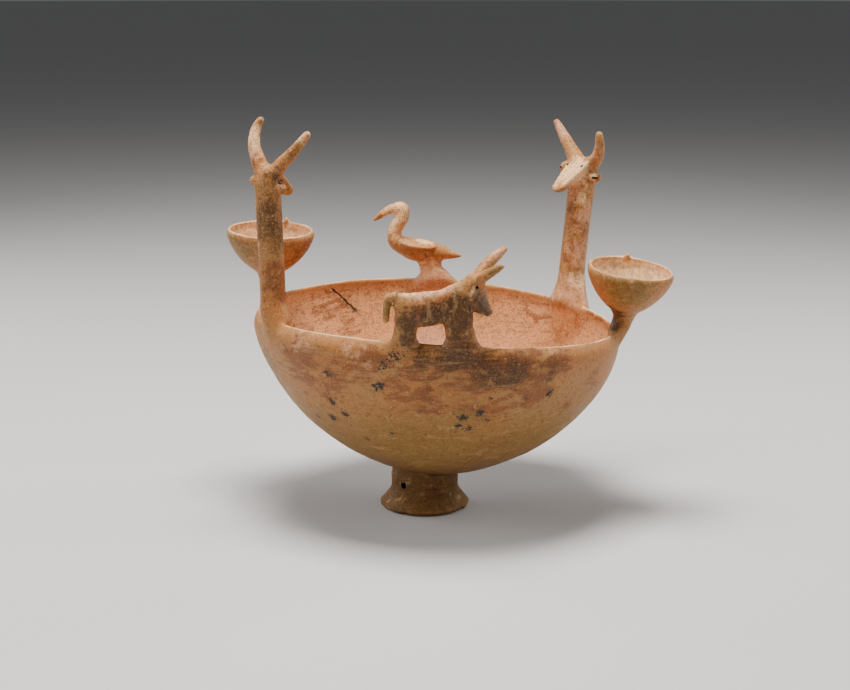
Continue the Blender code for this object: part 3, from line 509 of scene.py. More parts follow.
# The studio: a pale floor, soft boxes as (place, size, power, colour), and the camera.
VESSEL_NODE = "bowl_with_figures"
FLOOR_RADIUS = 30.0
FLOOR_COLOUR = (0.52, 0.51, 0.5, 1)
FLOOR_SHADE = (0.49, 0.48, 0.47, 1)
PAPER = (3.0, 3.0, 0.5)
WORLD_COLOUR = (0.8, 0.82, 0.85, 1)
WORLD_STRENGTH = 0.15
LIGHTS_AIM = Vector((0, 0, 0.17))
SOFT_BOXES = {
    "key": ((-1.5, -0.6, 1.2), 0.8, 15.0, (1.0, 0.98, 0.96)),
    "fill": ((1.55, -0.4, 0.95), 0.8, 8.0, (1.0, 0.98, 0.96)),
    "left_edge": ((-1.35, 0.95, 0.95), 0.6, 12.0, (0.95, 0.96, 1.0)),
    "right_edge": ((1.35, 0.75, 0.95), 0.6, 12.0, (1.0, 0.98, 0.96)),
    "top": ((-0.08, -0.16, 1.9), 0.75, 80.0, (1.0, 0.97, 0.93)),
}
PICTURE_WIDTH = 850
PICTURE_HEIGHT = 690
SENSOR = 36.0
# The photograph's lens, as its focal length in pixels, and the pixel that its axis meets.
FOCAL_PIXELS = 1790
AIM_PIXEL = (440.0, 329.5)
CAMERA_DIP = math.radians(11.3)
CAMERA_PLACE = (BOWL_X - 0.0003, BOWL_Y - 1.6, 0.485)

BOWL_CENTRE = Vector((BOWL_X, BOWL_Y, FOOT_HEIGHT + BOWL_DEPTH * math.cos(BOWL_TILT)))
FOOT_PLACE = Vector((BOWL_X + FOOT_SHIFT, BOWL_Y, 0))
LIP_RADIUS = BOWL_RADIUS - BOWL_DRAW_IN - BOWL_WALL / 2
SIDEWAYS = Vector((0, 1, 0))

# How finely the clay is modelled.
VOXEL = 0.00115
MOST_TRIANGLES = 186000
SHARP_EDGE = math.radians(50)
# The steps about the axis, and down the side, of each turned form; those of a shoulder and a flare.
BOWL_STEPS = (216, 44)
CUP_STEPS = (96, 20)
FOOT_STEPS = 120
SHOULDER_STEPS = 9
FLARE_STEPS = 12
FOOT_EDGE_DEGREES = (20, 45, 70, 90)
DOME_DEGREES = (15, 30, 45, 60, 75, 86)
LIP_DEGREES = range(180, -1, -20)
COLLAR_SPAN_STEPS = 5
BALL_STEPS = (28, 18)
# How many sides the round forms have.
LOFT_SIDES = 40
THICK_LIMB = 32
THIN_LIMB = 16
EYE_SIDES = 12
SCRATCH_SIDES = 8


def new_object(name, data):
    thing = bpy.data.objects.new(name, data)
    bpy.context.scene.collection.objects.link(thing)
    return thing


def made(work, name="form"):
    """The object of a mesh that has been built up."""
    mesh = bpy.data.meshes.new(name)
    work.to_mesh(mesh)
    work.free()
    return new_object(name, mesh)


def to_mesh(thing):
    """Replace an object by the welded mesh that its modifiers or its curve make."""
    bpy.context.view_layer.update()
    evaluated = thing.evaluated_get(bpy.context.evaluated_depsgraph_get())
    mesh = bpy.data.meshes.new_from_object(evaluated)
    name = thing.name
    bpy.data.objects.remove(thing, do_unlink=True)
    work = bmesh.new()
    work.from_mesh(mesh)
    bmesh.ops.remove_doubles(work, verts=work.verts, dist=WELD)
    bmesh.ops.recalc_face_normals(work, faces=work.faces)
    work.to_mesh(mesh)
    work.free()
    return new_object(name, mesh)


def turned(profile, steps):
    """Turn a profile of (radius, height) points, running down its outer side, about the Z axis."""
    mesh = bpy.data.meshes.new("form")
    edges = [(index, index + 1) for index in range(len(profile) - 1)]
    mesh.from_pydata([(radius, 0.0, height) for radius, height in profile], edges, [])
    thing = new_object("form", mesh)
    screw = thing.modifiers.new("turn", "SCREW")
    screw.steps = screw.render_steps = steps
    screw.use_merge_vertices = True
    screw.merge_threshold = WELD
    return to_mesh(thing)


def blended(values, weights):
    """Numbers or vectors, added up in the shares of their weights."""
    total = values[0] * weights[0]
    for value, weight in zip(values[1:], weights[1:]):
        total = total + value * weight
    return total


def smooth_route(points, per_span):
    """A smooth run of tuples, such as (place, radius), through the few that are given."""
    ends = [points[0]] + list(points) + [points[-1]]
    route = [points[0]]
    for knots in zip(ends, ends[1:], ends[2:], ends[3:]):
        for step in range(1, per_span + 1):
            share = step / per_span
            weights = (
                (-share**3 + 2 * share**2 - share) / 2,
                (3 * share**3 - 5 * share**2 + 2) / 2,
                (-3 * share**3 + 4 * share**2 + share) / 2,
                (share**3 - share**2) / 2,
            )
            route.append(tuple(blended(values, weights) for values in zip(*knots)))
    return route


def sized(points, size=1.0):
    """Places and radii from points written as shares of a size."""
    return [(Vector(point[:3]) * size, point[3] * size) for point in points]


def round_end(route):
    """Close the far end of a route with a dome of its last radius."""
    place, radius = route[-1]
    direction = (place - route[-2][0]).normalized()
    dome = []
    for degrees in DOME_DEGREES:
        angle = math.radians(degrees)
        dome.append((place + direction * radius * math.sin(angle), radius * math.cos(angle)))
    return route + dome


def limb(points, sides=24, per_span=8, domed_start=False, domed_end=True):
    """A round limb through a few (place, radius) points, flat or domed at its ends."""
    route = smooth_route(points, per_span)
    if domed_end:
        route = round_end(route)
    if domed_start:
        route = round_end(route[::-1])
    curve = bpy.data.curves.new("form", "CURVE")
    curve.dimensions = "3D"
    curve.bevel_depth = 1.0
    curve.bevel_resolution = (sides - 4) // 2
    curve.use_fill_caps = True
    spline = curve.splines.new("POLY")
    spline.points.add(len(route) - 1)
    for knot, (place, radius) in zip(spline.points, route):
        knot.co = (*place, 1.0)
        knot.radius = radius
    return to_mesh(new_object("form", curve))


def ball(centre, half_sizes, turn=None):
    """An egg of three half sizes about a centre, turned by a matrix."""
    work = bmesh.new()
    about, down = BALL_STEPS
    bmesh.ops.create_uvsphere(work, u_segments=about, v_segments=down, radius=1.0)
    egg = made(work)
    shape = (turn or Matrix.Identity(4)) @ Matrix.Diagonal((*half_sizes, 1.0))
    egg.data.transform(Matrix.Translation(centre) @ shape)
    return egg


def loft(rings, along, away):
    """Skin a stack of ellipses, each a (centre, half width along, half thickness away)."""
    work = bmesh.new()
    loops = []
    for centre, half_width, half_thickness in rings:
        loop = []
        for index in range(LOFT_SIDES):
            angle = 2 * math.pi * index / LOFT_SIDES
            offset = along * half_width * math.cos(angle) + away * half_thickness * math.sin(angle)
            loop.append(work.verts.new(centre + offset))
        loops.append(loop)
    for upper, lower in zip(loops, loops[1:]):
        for index in range(LOFT_SIDES):
            work.faces.new((upper[index - 1], upper[index], lower[index], lower[index - 1]))
    work.faces.new(loops[0])
    work.faces.new(loops[-1])
    bmesh.ops.recalc_face_normals(work, faces=work.faces)
    return made(work)


def squash(piece, point, direction, share):
    """Thin a piece along a direction about a point."""
    for vertex in piece.data.vertices:
        away = (vertex.co - point).dot(direction)
        vertex.co += direction * away * (share - 1)
    return piece


def slim_limb(points, size, share, **ends):
    """A thick limb of a figure's own size, thinned from side to side."""
    return squash(limb(sized(points, size), THICK_LIMB, **ends), Vector(), SIDEWAYS, share)


def pair(place, half_sizes, size, turns):
    """Two balls on either side of a figure, of its own size, each with a turn of its own."""
    forward, spread, up = place
    balls = []
    for side, turn in zip((1, -1), turns):
        spot = Vector((forward, side * spread, up)) * size
        balls.append(ball(spot, Vector(half_sizes) * size, turn))
    return balls


def slice_flat(piece, point, normal):
    """Take off all that lies beyond a plane and close the cut with a flat face."""
    work = bmesh.new()
    work.from_mesh(piece.data)
    whole = work.verts[:] + work.edges[:] + work.faces[:]
    cut = bmesh.ops.bisect_plane(work, geom=whole, plane_co=point, plane_no=normal, clear_outer=True)
    rim = [part for part in cut["geom_cut"] if isinstance(part, bmesh.types.BMEdge)]
    bmesh.ops.holes_fill(work, edges=rim, sides=0)
    work.to_mesh(piece.data)
    work.free()


def place_all(pieces, matrix):
    for piece in pieces:
        piece.data.transform(matrix)
    return pieces


def between(low, high, share):
    return low + (high - low) * share


def ease(share):
    """A share, or an array of shares, held to 0 to 1 and eased at both ends."""
    share = np.clip(share, 0.0, 1.0)
    return share * share * (3 - 2 * share)


def around(angle, radius=1.0, level=0.0):
    """The point at an angle, a radius and a level about the Z axis."""
    return Vector((radius * math.cos(angle), radius * math.sin(angle), level))


def dish_radius(radius, depth, fullness, below):
    """The radius of a dish at one or many levels below its widest line."""
    sunk = np.clip(below / depth, 0.0, 1.0)
    return radius * (1 - sunk**fullness) ** (1 / fullness)


def dish_side(radius, depth, fullness, count):
    """Points down the side of a dish from its widest line to its lowest point."""
    power = 2 / fullness
    side = []
    for index in range(count + 1):
        angle = math.pi / 2 * index / count
        across = radius * math.cos(angle) ** power if index < count else 0.0
        side.append((across, -depth * math.sin(angle) ** power))
    return side


def shoulder(radius, depth, fullness, below, lip_edge, lip_level):
    """Points up one face of a wall, from a level below its widest line to the edge of its lip."""
    points = []
    for index in range(SHOULDER_STEPS):
        share = index / SHOULDER_STEPS
        level = between(-below, lip_level, share)
        across = dish_radius(radius, depth, fullness, -level) - (radius - lip_edge) * share**2
        points.append((across, level))
    return points


def dish_profile(radius, depth, fullness, wall, floor, lip, lip_rise, draw_in, below, count):
    """A hollow dish: up its inside, over a thinner lip, which is drawn in, and down its outside."""
    middle = radius - draw_in - wall / 2
    level = lip_rise - lip / 2
    inside = (radius - wall, depth - floor, fullness)
    outside = (radius, depth, fullness)
    profile = [point for point in dish_side(*inside, count) if point[1] < -below][::-1]
    profile += shoulder(*inside, below, middle - lip / 2, level)
    for degrees in LIP_DEGREES:
        angle = math.radians(degrees)
        profile.append((middle + lip / 2 * math.cos(angle), lip_rise - lip / 2 * (1 - math.sin(angle))))
    profile += shoulder(*outside, below, middle + lip / 2, level)[::-1]
    return profile + [point for point in dish_side(*outside, count) if point[1] < -below]


def settled(point):
    """Where a point of the true turned bowl lies on the real one."""
    near_rim = ease(1 + point.z / RIM_WARP_DEPTH)
    angle = math.atan2(point.y, point.x)
    shift = Vector((RIM_LEAN * near_rim, 0, -RIM_WARP * near_rim * math.cos(2 * angle)))
    return BOWL_CENTRE + Matrix.Rotation(BOWL_TILT, 3, "Y") @ (point + shift)


def rim_point(angle):
    """The crest of the rim at an angle about the bowl's axis."""
    return settled(around(angle, LIP_RADIUS, BOWL_LIP_RISE))


def wall_point(angle, below, radius=BOWL_RADIUS, depth=BOWL_DEPTH, inset=BOWL_WALL / 2):
    """A point at a depth below the rim, in the middle of the bowl's wall or on another dish in it."""
    level = BOWL_LIP_RISE - below
    return settled(around(angle, dish_radius(radius, depth, BOWL_FULLNESS, -level) - inset, level))


def seat(angle, faces):
    """A figure's own frame on the rim: +X is where it faces, +Y its left and +Z up."""
    return Matrix.Translation(rim_point(angle)) @ Matrix.Rotation(faces, 4, "Z")


def collar(angle, upward, width, thickness, flare, depth=ROOT_DEPTH, inset=0.0, fillet=0.0):
    """Clay smoothed from a figure onto the rim, out along it and down the wall until it dies away."""
    hidden = BOWL_WALL * COLLAR_HIDDEN
    away = around(angle)
    along = Vector((-math.sin(angle), math.cos(angle), 0))
    rings = []
    for level, spread, fullness, shift in COLLAR_RINGS:
        if level > 0:
            centre = rim_point(angle) + upward * level
            spread += fillet * (1 - level)
        else:
            centre = wall_point(angle, -level * depth) - away * BOWL_DRAW_IN * (1 + level)
        centre = centre - away * inset * shift
        rings.append((centre, width * between(1, flare, spread), between(hidden, thickness, fullness)))
    return loft(smooth_route(rings, COLLAR_SPAN_STEPS), along, away)


def side_root(angle, upward, width, thickness, root):
    """More clay smoothed from a figure to the right along the rim."""
    along, share, flare = root
    return collar(angle - along / LIP_RADIUS, upward, width * share, thickness, flare)


def bowl():
    about, down = BOWL_STEPS
    shell = turned(dish_profile(BOWL_RADIUS, BOWL_DEPTH, *BOWL_FORM, BOWL_SHOULDER, down), about)
    for vertex in shell.data.vertices:
        vertex.co = settled(vertex.co)
    return shell


def foot():
    """The foot, from inside the bowl's floor down to its spreading edge, hollow from below."""
    top = FOOT_HEIGHT + BOWL_FLOOR * FOOT_IN_FLOOR
    profile = [(0, top), (FOOT_NECK_RADIUS, top)]
    for index in range(FLARE_STEPS + 1):
        share = index / FLARE_STEPS
        level = between(FOOT_FLARE_HEIGHT, FOOT_EDGE, share)
        profile.append((between(FOOT_NECK_RADIUS, FOOT_BASE_RADIUS, share**FOOT_FLARE_POWER), level))
    for degrees in FOOT_EDGE_DEGREES:
        angle = math.radians(degrees)
        rounding = FOOT_EDGE * (1 - math.cos(angle))
        profile.append((FOOT_BASE_RADIUS - rounding, FOOT_EDGE * (1 - math.sin(angle))))
    roof = FOOT_HEIGHT - FOOT_ROOF
    profile.append((FOOT_BASE_RADIUS - FOOT_EDGE - FOOT_WALL, 0))
    profile.append((FOOT_NECK_RADIUS - FOOT_WALL, FOOT_FLARE_HEIGHT))
    for inwards, down in FOOT_ROOF_EDGE:
        profile.append((FOOT_NECK_RADIUS - FOOT_WALL * inwards, roof - FOOT_WALL * down))
    profile.append((0, roof))
    return place_all([turned(profile, FOOT_STEPS)], Matrix.Translation(FOOT_PLACE))[0]


def foot_hole():
    """The small hole that was poked through the foot's wall."""
    outward = around(FOOT_HOLE_ANGLE)
    middle = FOOT_PLACE + Vector((0, 0, FOOT_HOLE_HEIGHT))
    start = middle + outward * (FOOT_NECK_RADIUS - FOOT_HOLE_START * FOOT_WALL)
    end = middle + outward * (FOOT_NECK_RADIUS + FOOT_WALL)
    radius = FOOT_HOLE_RADIUS * FOOT_HOLE_WEAR
    return limb([(start, radius), (end, radius)], THIN_LIMB, 1)


def upright(place, base, top, girth, form):
    """The points of a round upright that is rooted in the wall and swells as its form says."""
    root_depth, root_swell = UPRIGHT_ROOT
    points = [(wall_point(place, girth * root_depth), girth * root_swell)]
    for share, swell in form:
        points.append((base.lerp(top, share), girth * swell))
    return points


def cup_pose(place, height, outward, tips, **others):
    """A cup's own frame, with its widest line at no height; its other sizes play no part in that."""
    rim_middle = rim_point(place) + around(place) * outward + Vector((0, 0, height))
    tipped = Matrix.Rotation(tips[0], 4, "Y") @ Matrix.Rotation(tips[1], 4, "X")
    return Matrix.Translation(rim_middle) @ tipped @ Matrix.Translation((0, 0, -CUP_LIP_RISE))


def cup(place, root, radius, depth, lugs, **stance):
    """A cup on a stem that rises from the rim, with a small lug on either side of its lip."""
    pose = cup_pose(place, **stance)
    about, down = CUP_STEPS
    pieces = [turned(dish_profile(radius, depth, *CUP_FORM, CUP_SHOULDER, down), about)]
    lip_middle = radius - CUP_DRAW_IN - CUP_WALL / 2
    for angle, out, under in lugs:
        spot = around(angle, lip_middle + out, CUP_LIP_RISE - under)
        sizes = (CUP_LUG_RADIUS, CUP_LUG_RADIUS * CUP_LUG_SLIMNESS, CUP_LUG_HEIGHT)
        pieces.append(ball(spot, sizes, Matrix.Rotation(angle, 4, "Z")))
    place_all(pieces, pose)
    foot_of_stem = rim_point(place) + around(place) * root
    lowest = pose @ Vector((0, 0, -depth))
    girth = CUP_STEM_RADIUS
    into_floor, top_swell = STEM_TOP
    points = upright(place, foot_of_stem, lowest, girth, STEM_FORM)
    points.append((pose @ Vector((0, 0, CUP_FLOOR * into_floor - depth)), girth * top_swell))
    upward = (lowest - foot_of_stem).normalized() * girth
    sizes = (girth, girth * STEM_COLLAR_FULLNESS, STEM_COLLAR_FLARE)
    return pieces + [limb(points, domed_end=False), collar(place, upward, *sizes, fillet=STEM_FILLET)]


def face_normal(slope, turn=0.0):
    """The way that a face looks which falls forward from the brow."""
    return Matrix.Rotation(turn, 3, "Z") @ Vector((math.sin(slope), 0, math.cos(slope)))


def prick(spot, outward):
    """The cutter for an eye that was pricked straight into a face."""
    inward = outward * -EYE_DEPTH
    mouth = (spot - inward, EYE_RADIUS * EYE_WEAR)
    return limb([mouth, (spot + inward, EYE_RADIUS * EYE_TAPER)], EYE_SIDES, 1)


def skull(brow_reach, reach, radius):
    """A flat-faced head, and the way down its face from the brow."""
    brow = Vector((brow_reach, 0, 0))
    along = Vector((math.cos(FACE_SLOPE), 0, -math.sin(FACE_SLOPE)))
    under = Vector((-math.sin(FACE_SLOPE), 0, -math.cos(FACE_SLOPE)))
    length = (reach - brow_reach) / math.cos(FACE_SLOPE)
    route = []
    for share, sunk, taper in HEAD_FORM:
        spot = brow + along * length * share + under * radius * sunk
        route.append((spot, between(radius, MUZZLE_RADIUS, taper)))
    setback, sunk = MUZZLE_FORM
    muzzle = brow + along * (length - MUZZLE_RADIUS * setback) + under * MUZZLE_RADIUS * sunk
    head = squash(limb(route + [(muzzle, MUZZLE_RADIUS)], THICK_LIMB), brow, under, HEAD_FLATNESS)
    slice_flat(head, brow, face_normal(FACE_SLOPE))
    return head, brow, along


def protome(place, faces, lean, neck, head, ears, horns):
    """A long neck with a flat-faced head, two ears and two horns, and what is cut into it."""
    base = rim_point(place)
    fork = base + Vector((0, 0, NECK_HEIGHT)) + around(place) * NECK_HEIGHT * math.tan(lean)
    upward = (fork - base).normalized() * neck * 2
    sizes = (neck, neck * NECK_COLLAR_FULLNESS)
    pieces = [
        limb(upright(place, base, fork, neck, NECK_FORM), THICK_LIMB),
        collar(place, upward, *sizes, NECK_COLLAR_FLARE, inset=NECK_COLLAR_INSET, fillet=NECK_FILLET),
    ]
    if around(place).x > 0:
        pieces.append(side_root(place, upward, *sizes, NECK_SIDE_ROOT))
    whole_head, brow, down_face = skull(*head)
    figure = [whole_head]
    cuts = []
    for middle in ears:
        figure.append(ball(Vector(middle), EAR_HALF_SIZES))
        outward = Matrix.Rotation(math.copysign(EAR_SLIT_TURN, middle[1]), 4, "Z")
        opening = Vector(middle) + outward @ Vector((EAR_SLIT_OUT, 0, 0))
        cuts.append(ball(opening, EAR_SLIT_HALF_SIZES, outward))
    for side in (1, -1):
        spot = brow + down_face * EYES_DOWN + Vector((0, side * EYE_SPREAD, 0))
        cuts.append(prick(spot, face_normal(FACE_SLOPE)))
    figure += [limb(sized(points)) for points in horns]
    pose = Matrix.Translation(fork) @ Matrix.Rotation(faces, 4, "Z")
    return pieces + place_all(figure, pose), place_all(cuts, pose)


def beast():
    """A horned beast that stands along the rim on two broad pairs of legs, and what is cut into it."""
    size = BEAST_SIZE
    trunk = slim_limb(BEAST_TRUNK, size, BEAST_SLIMNESS, domed_start=True)
    rump = BEAST_TRUNK[0][0] * size
    for vertex in trunk.data.vertices:
        vertex.co.x = max(vertex.co.x, rump) + min(vertex.co.x - rump, 0.0) * RUMP_ROUNDNESS
    pieces = [trunk]
    pieces += [slim_limb(points, size, BEAST_LEG_SLIMNESS, domed_end=False) for points in BEAST_LEGS]
    head = slim_limb(BEAST_HEAD, size, BEAST_HEAD_SLIMNESS, domed_start=True)
    face = face_normal(BEAST_FACE_SLOPE, BEAST_FACE_TURN)
    slice_flat(head, Vector(BEAST_FACE) * size, face)
    pieces += [head, limb(sized(BEAST_TAIL, size))]
    pieces += [limb(sized(points, size), domed_start=True) for points in BEAST_HORNS]
    droop = Matrix.Rotation(BEAST_EAR_DROOP, 4, "Y")
    pieces += pair(BEAST_EAR, BEAST_EAR_HALF_SIZES, size, (droop, droop))
    cuts = [prick(Vector(spot) * size, face) for spot in BEAST_EYES]
    cuts += [limb(sized(points, size), sides=SCRATCH_SIDES, per_span=3) for points in RUMP_SCRATCHES]
    place_all(pieces + cuts, seat(BEAST_PLACE, BEAST_FACES))
    upward = Vector((0, 0, BEAST_FEET_RISE * size))
    for forward, width, thickness in BEAST_FEET:
        angle = BEAST_PLACE + forward * FEET_APART * size / LIP_RADIUS
        sizes = (width * size, thickness * size, BEAST_FEET_FLARE, BEAST_FEET_DEPTH * size)
        pieces.append(collar(angle, upward, *sizes))
    return pieces, cuts


def bird():
    """A bird with a curved neck and a long bill, its wings laid along its back."""
    size = BIRD_SIZE
    pieces = [
        slim_limb(BIRD_TRUNK, size, BIRD_SLIMNESS),
        slim_limb(BIRD_STAND, size, BIRD_STAND_SLIMNESS, domed_end=False),
        limb(sized(BIRD_NECK, size)),
        ball(Vector(BIRD_HEAD) * size, Vector(BIRD_HEAD_HALF_SIZES) * size),
        limb(sized(BIRD_BILL, size)),
    ]
    raised = Matrix.Rotation(-BIRD_WING_RISE, 4, "Y")
    droops = [raised @ Matrix.Rotation(-side * BIRD_WING_DROOP, 4, "X") for side in (1, -1)]
    pieces += pair(BIRD_WING, BIRD_WING_HALF_SIZES, size, droops)
    place_all(pieces, seat(BIRD_PLACE, BIRD_FACES))
    upward = Vector((0, 0, BIRD_FOOT_RISE * size))
    forward, width, thickness = BIRD_FOOT
    angle = BIRD_PLACE + forward * size / LIP_RADIUS
    sizes = (width * size, thickness * size)
    pieces.append(collar(angle, upward, *sizes, BIRD_FOOT_FLARE, BIRD_FOOT_DEPTH * size))
    pieces.append(side_root(angle, upward, *sizes, BIRD_SIDE_ROOT))
    return pieces


def wall_crack():
    """The cutter for the jagged crack that runs down the inside of the wall from the rim."""
    inner_face = (BOWL_RADIUS - BOWL_WALL, BOWL_DEPTH - BOWL_FLOOR, 0.0)
    points = []
    for degrees, below, width in CRACK:
        points.append((wall_point(math.radians(degrees), below, *inner_face), CRACK_WIDTH * width))
    return limb(points, sides=SCRATCH_SIDES, per_span=1)


def join(name, pieces):
    """Put several closed meshes into one object, still overlapping."""
    work = bmesh.new()
    for piece in pieces:
        work.from_mesh(piece.data)
        bpy.data.objects.remove(piece, do_unlink=True)
    return made(work, name)


def vertex_values(mesh, name):
    """Every vertex's place (co) or normal, as an array with a row for each."""
    values = np.empty(len(mesh.vertices) * 3, dtype=np.float32)
    mesh.vertices.foreach_get(name, values)
    return values.reshape(-1, 3).astype(np.float64)


def set_places(mesh, places):
    mesh.vertices.foreach_set("co", places.astype(np.float32).ravel())
    mesh.update()


def triangle_count(mesh):
    sides = np.empty(len(mesh.polygons), dtype=np.int32)
    mesh.polygons.foreach_get("loop_total", sides)
    return int((sides - 2).sum())


def distances(places, spot):
    """How far every vertex is from a spot."""
    return np.linalg.norm(places - np.array(spot), axis=1)


def neighbours(mesh):
    """The two ends of every edge, and how many edges meet at each vertex."""
    edges = np.empty(len(mesh.edges) * 2, dtype=np.int32)
    mesh.edges.foreach_get("vertices", edges)
    start, end = edges.reshape(-1, 2).T
    count = len(mesh.vertices)
    meeting = np.bincount(start, minlength=count) + np.bincount(end, minlength=count)
    return start, end, np.maximum(meeting, 1)


def smoothed(places, start, end, meeting):
    """Where each vertex would lie in the middle of those around it."""
    total = np.empty_like(places)
    for axis in range(3):
        values = places[:, axis]
        total[:, axis] = np.bincount(start, values[end], len(values))
        total[:, axis] += np.bincount(end, values[start], len(values))
    return total / meeting[:, None]


def run_together(thing):
    """Fuse the overlapping forms into one skin and fill the creases between them, as wet clay is."""
    fuse = thing.modifiers.new("fuse", "REMESH")
    fuse.mode = "VOXEL"
    fuse.voxel_size = VOXEL
    thing = to_mesh(thing)
    mesh = thing.data
    around_it = neighbours(mesh)
    places = vertex_values(mesh, "co")
    filled = np.clip((places[:, 2] - FILL_FROM) / FILL_FADE, 0, 1)
    for *spot, reach, share in CRISP:
        filled = filled * (1 - share * np.clip(2 - 2 * distances(places, spot) / reach, 0, 1))
    for _ in range(FILL_ROUNDS):
        places = vertex_values(mesh, "co")
        normals = vertex_values(mesh, "normal")
        for _ in range(FILL_STEPS):
            move = smoothed(places, *around_it) - places
            outward = (move * normals).sum(axis=1) - FILL_LEAST
            share = np.clip(outward / FILL_LEAST, 0, 1) * filled * FILL_SHARE
            places += move * share[:, None]
        move = smoothed(places, *around_it) - places
        places += move * (SMOOTH_SHARE + SMOOTH_MORE * filled)[:, None]
        set_places(mesh, places)
    return thing


def fewer_triangles(thing):
    fewer = thing.modifiers.new("fewer", "DECIMATE")
    fewer.ratio = min(1.0, MOST_TRIANGLES / triangle_count(thing.data))
    return to_mesh(thing)


def cut_from(thing, cuts):
    """Cut the pricks, slits, cracks and holes into the clay, and mark the faces that they leave."""
    cutter = join("cuts", cuts)
    marks = [bpy.data.materials.new(name) for name in ("skin", "cut_face")]
    for piece in (thing, cutter):
        for mark in marks:
            piece.data.materials.append(mark)
    cutter.data.polygons.foreach_set("material_index", [1] * len(cutter.data.polygons))
    cut = thing.modifiers.new("cut", "BOOLEAN")
    cut.operation = "DIFFERENCE"
    cut.solver = "EXACT"
    cut.object = cutter
    thing = to_mesh(thing)
    bpy.data.objects.remove(cutter, do_unlink=True)
    return thing


def unevenness(places, size, seed):
    """Smooth noise of about -1 to 1 over the vertices, with lumps about that far across."""
    apart = Vector([seed * gap for gap in NOISE_APART])
    scale = 1 / size
    return np.array([noise.noise(Vector(place) * scale + apart) for place in places])


def bump(distance, reach):
    """1 at no distance, easing to 0 at the reach."""
    return ease(1 - distance / reach)


def weather(thing):
    """Dent the clay as hands and wear have: a wavy surface, a nicked rim, a rough and chipped foot."""
    mesh = thing.data
    places = vertex_values(mesh, "co")
    normals = vertex_values(mesh, "normal")
    shift = 0.0
    for seed, (size, height) in enumerate(SURFACE_LUMPS, 1):
        shift = shift + unevenness(places, size, seed) * height
    on_foot = np.clip((FOOT_HEIGHT - places[:, 2]) / FOOT_LUMPS_FADE, 0, 1)
    size, height = FOOT_LUMPS
    shift += on_foot * unevenness(places, size, len(SURFACE_LUMPS) + 1) * height
    across = np.hypot(places[:, 0] - FOOT_PLACE.x, places[:, 1] - FOOT_PLACE.y)
    above, reach, depth = SEAM
    seam = np.hypot(across - FOOT_NECK_RADIUS, places[:, 2] - FOOT_HEIGHT - above)
    shift -= bump(seam, reach) * depth
    for *spot, reach, depth in CHIPS:
        shift -= bump(distances(places, spot), reach) * depth
    set_places(mesh, places + normals * shift[:, None])


def stay_inside(thing, box):
    """Press back what weathering has pushed past the solid's own box, by hundredths of a millimetre."""
    low, high = (np.array(corner) for corner in box)
    set_places(thing.data, np.clip(vertex_values(thing.data, "co"), low, high))


def unsettled(places):
    """Where the settled bowl's points lay on the true turned one."""
    upright_again = np.array(Matrix.Rotation(-BOWL_TILT, 3, "Y"))
    local = (places - np.array(BOWL_CENTRE)) @ upright_again.T
    near_rim = ease(1 + local[:, 2] / RIM_WARP_DEPTH)
    angle = np.arctan2(local[:, 1], local[:, 0])
    local[:, 0] -= RIM_LEAN * near_rim
    local[:, 2] += RIM_WARP * near_rim * np.cos(2 * angle)
    return local


def dishes(places):
    """Which vertices are on the inner faces of the bowl and of the cups, and which on their lips."""
    inner, lip = dish_shares(unsettled(places), BOWL_RADIUS, BOWL_DEPTH, *BOWL_FORM, BOWL_LIP_WEAR_AND_HIGHLIGHT)
    for sizes in CUPS.values():
        matrix = np.array(cup_pose(**sizes).inverted())
        local = places @ matrix[:3, :3].T + matrix[:3, 3]
        shares = dish_shares(local, sizes["radius"], sizes["depth"], *CUP_FORM, CUP_LIP_WEAR_AND_HIGHLIGHT)
        inner = np.maximum(inner, shares[0])
        lip = np.maximum(lip, shares[1])
    return inner, lip * away_from_roots(places)


def away_from_roots(places):
    """1 for the points that are clear of the figures' roots on the rim, falling to 0 at the roots."""
    angles = [sizes["place"] for sizes in (*PROTOMES.values(), *CUPS.values())]
    angles += [BEAST_PLACE + foot[0] * BEAST_SIZE / LIP_RADIUS for foot in BEAST_FEET]
    angles.append(BIRD_PLACE + BIRD_FOOT[0] * BIRD_SIZE / LIP_RADIUS)
    clear = np.ones(len(places))
    for angle in angles:
        distance = distances(places, rim_point(angle))
        clear = np.minimum(clear, np.clip((distance - LIP_WEAR_AND_HIGHLIGHT_GAP) / LIP_WEAR_AND_HIGHLIGHT_FADE, 0, 1))
    return clear


def dish_shares(local, radius, depth, fullness, wall, floor, lip, lip_rise, draw_in, wear):
    """Which points of a dish's own frame lie within the middle of its wall, and which on its lip."""
    middle = dish_radius(radius - wall / 2, depth - floor / 2, fullness, -local[:, 2])
    across = np.hypot(local[:, 0], local[:, 1])
    within = np.clip((middle - across) / (wall * INNER_FADE), 0, 1)
    under = np.clip((lip_rise - local[:, 2]) / (wall * UNDER_LIP_FADE), 0, 1)
    above_floor = local[:, 2] > -depth
    from_crest = np.hypot(across - (radius - draw_in - wall / 2), local[:, 2] - lip_rise)
    return within * under * above_floor, bump(from_crest, lip * wear)


def edges_and_hollows(thing):
    """How far each vertex stands proud of the clay around it, from -1 in a hollow to 1 on an edge."""
    mesh = thing.data
    places = vertex_values(mesh, "co")
    around_it = neighbours(mesh)
    even = places
    for _ in range(PROUD_STEPS):
        even = smoothed(even, *around_it)
    proud = ((places - even) * vertex_values(mesh, "normal")).sum(axis=1)
    return np.clip(proud / PROUD_REACH, -1, 1)


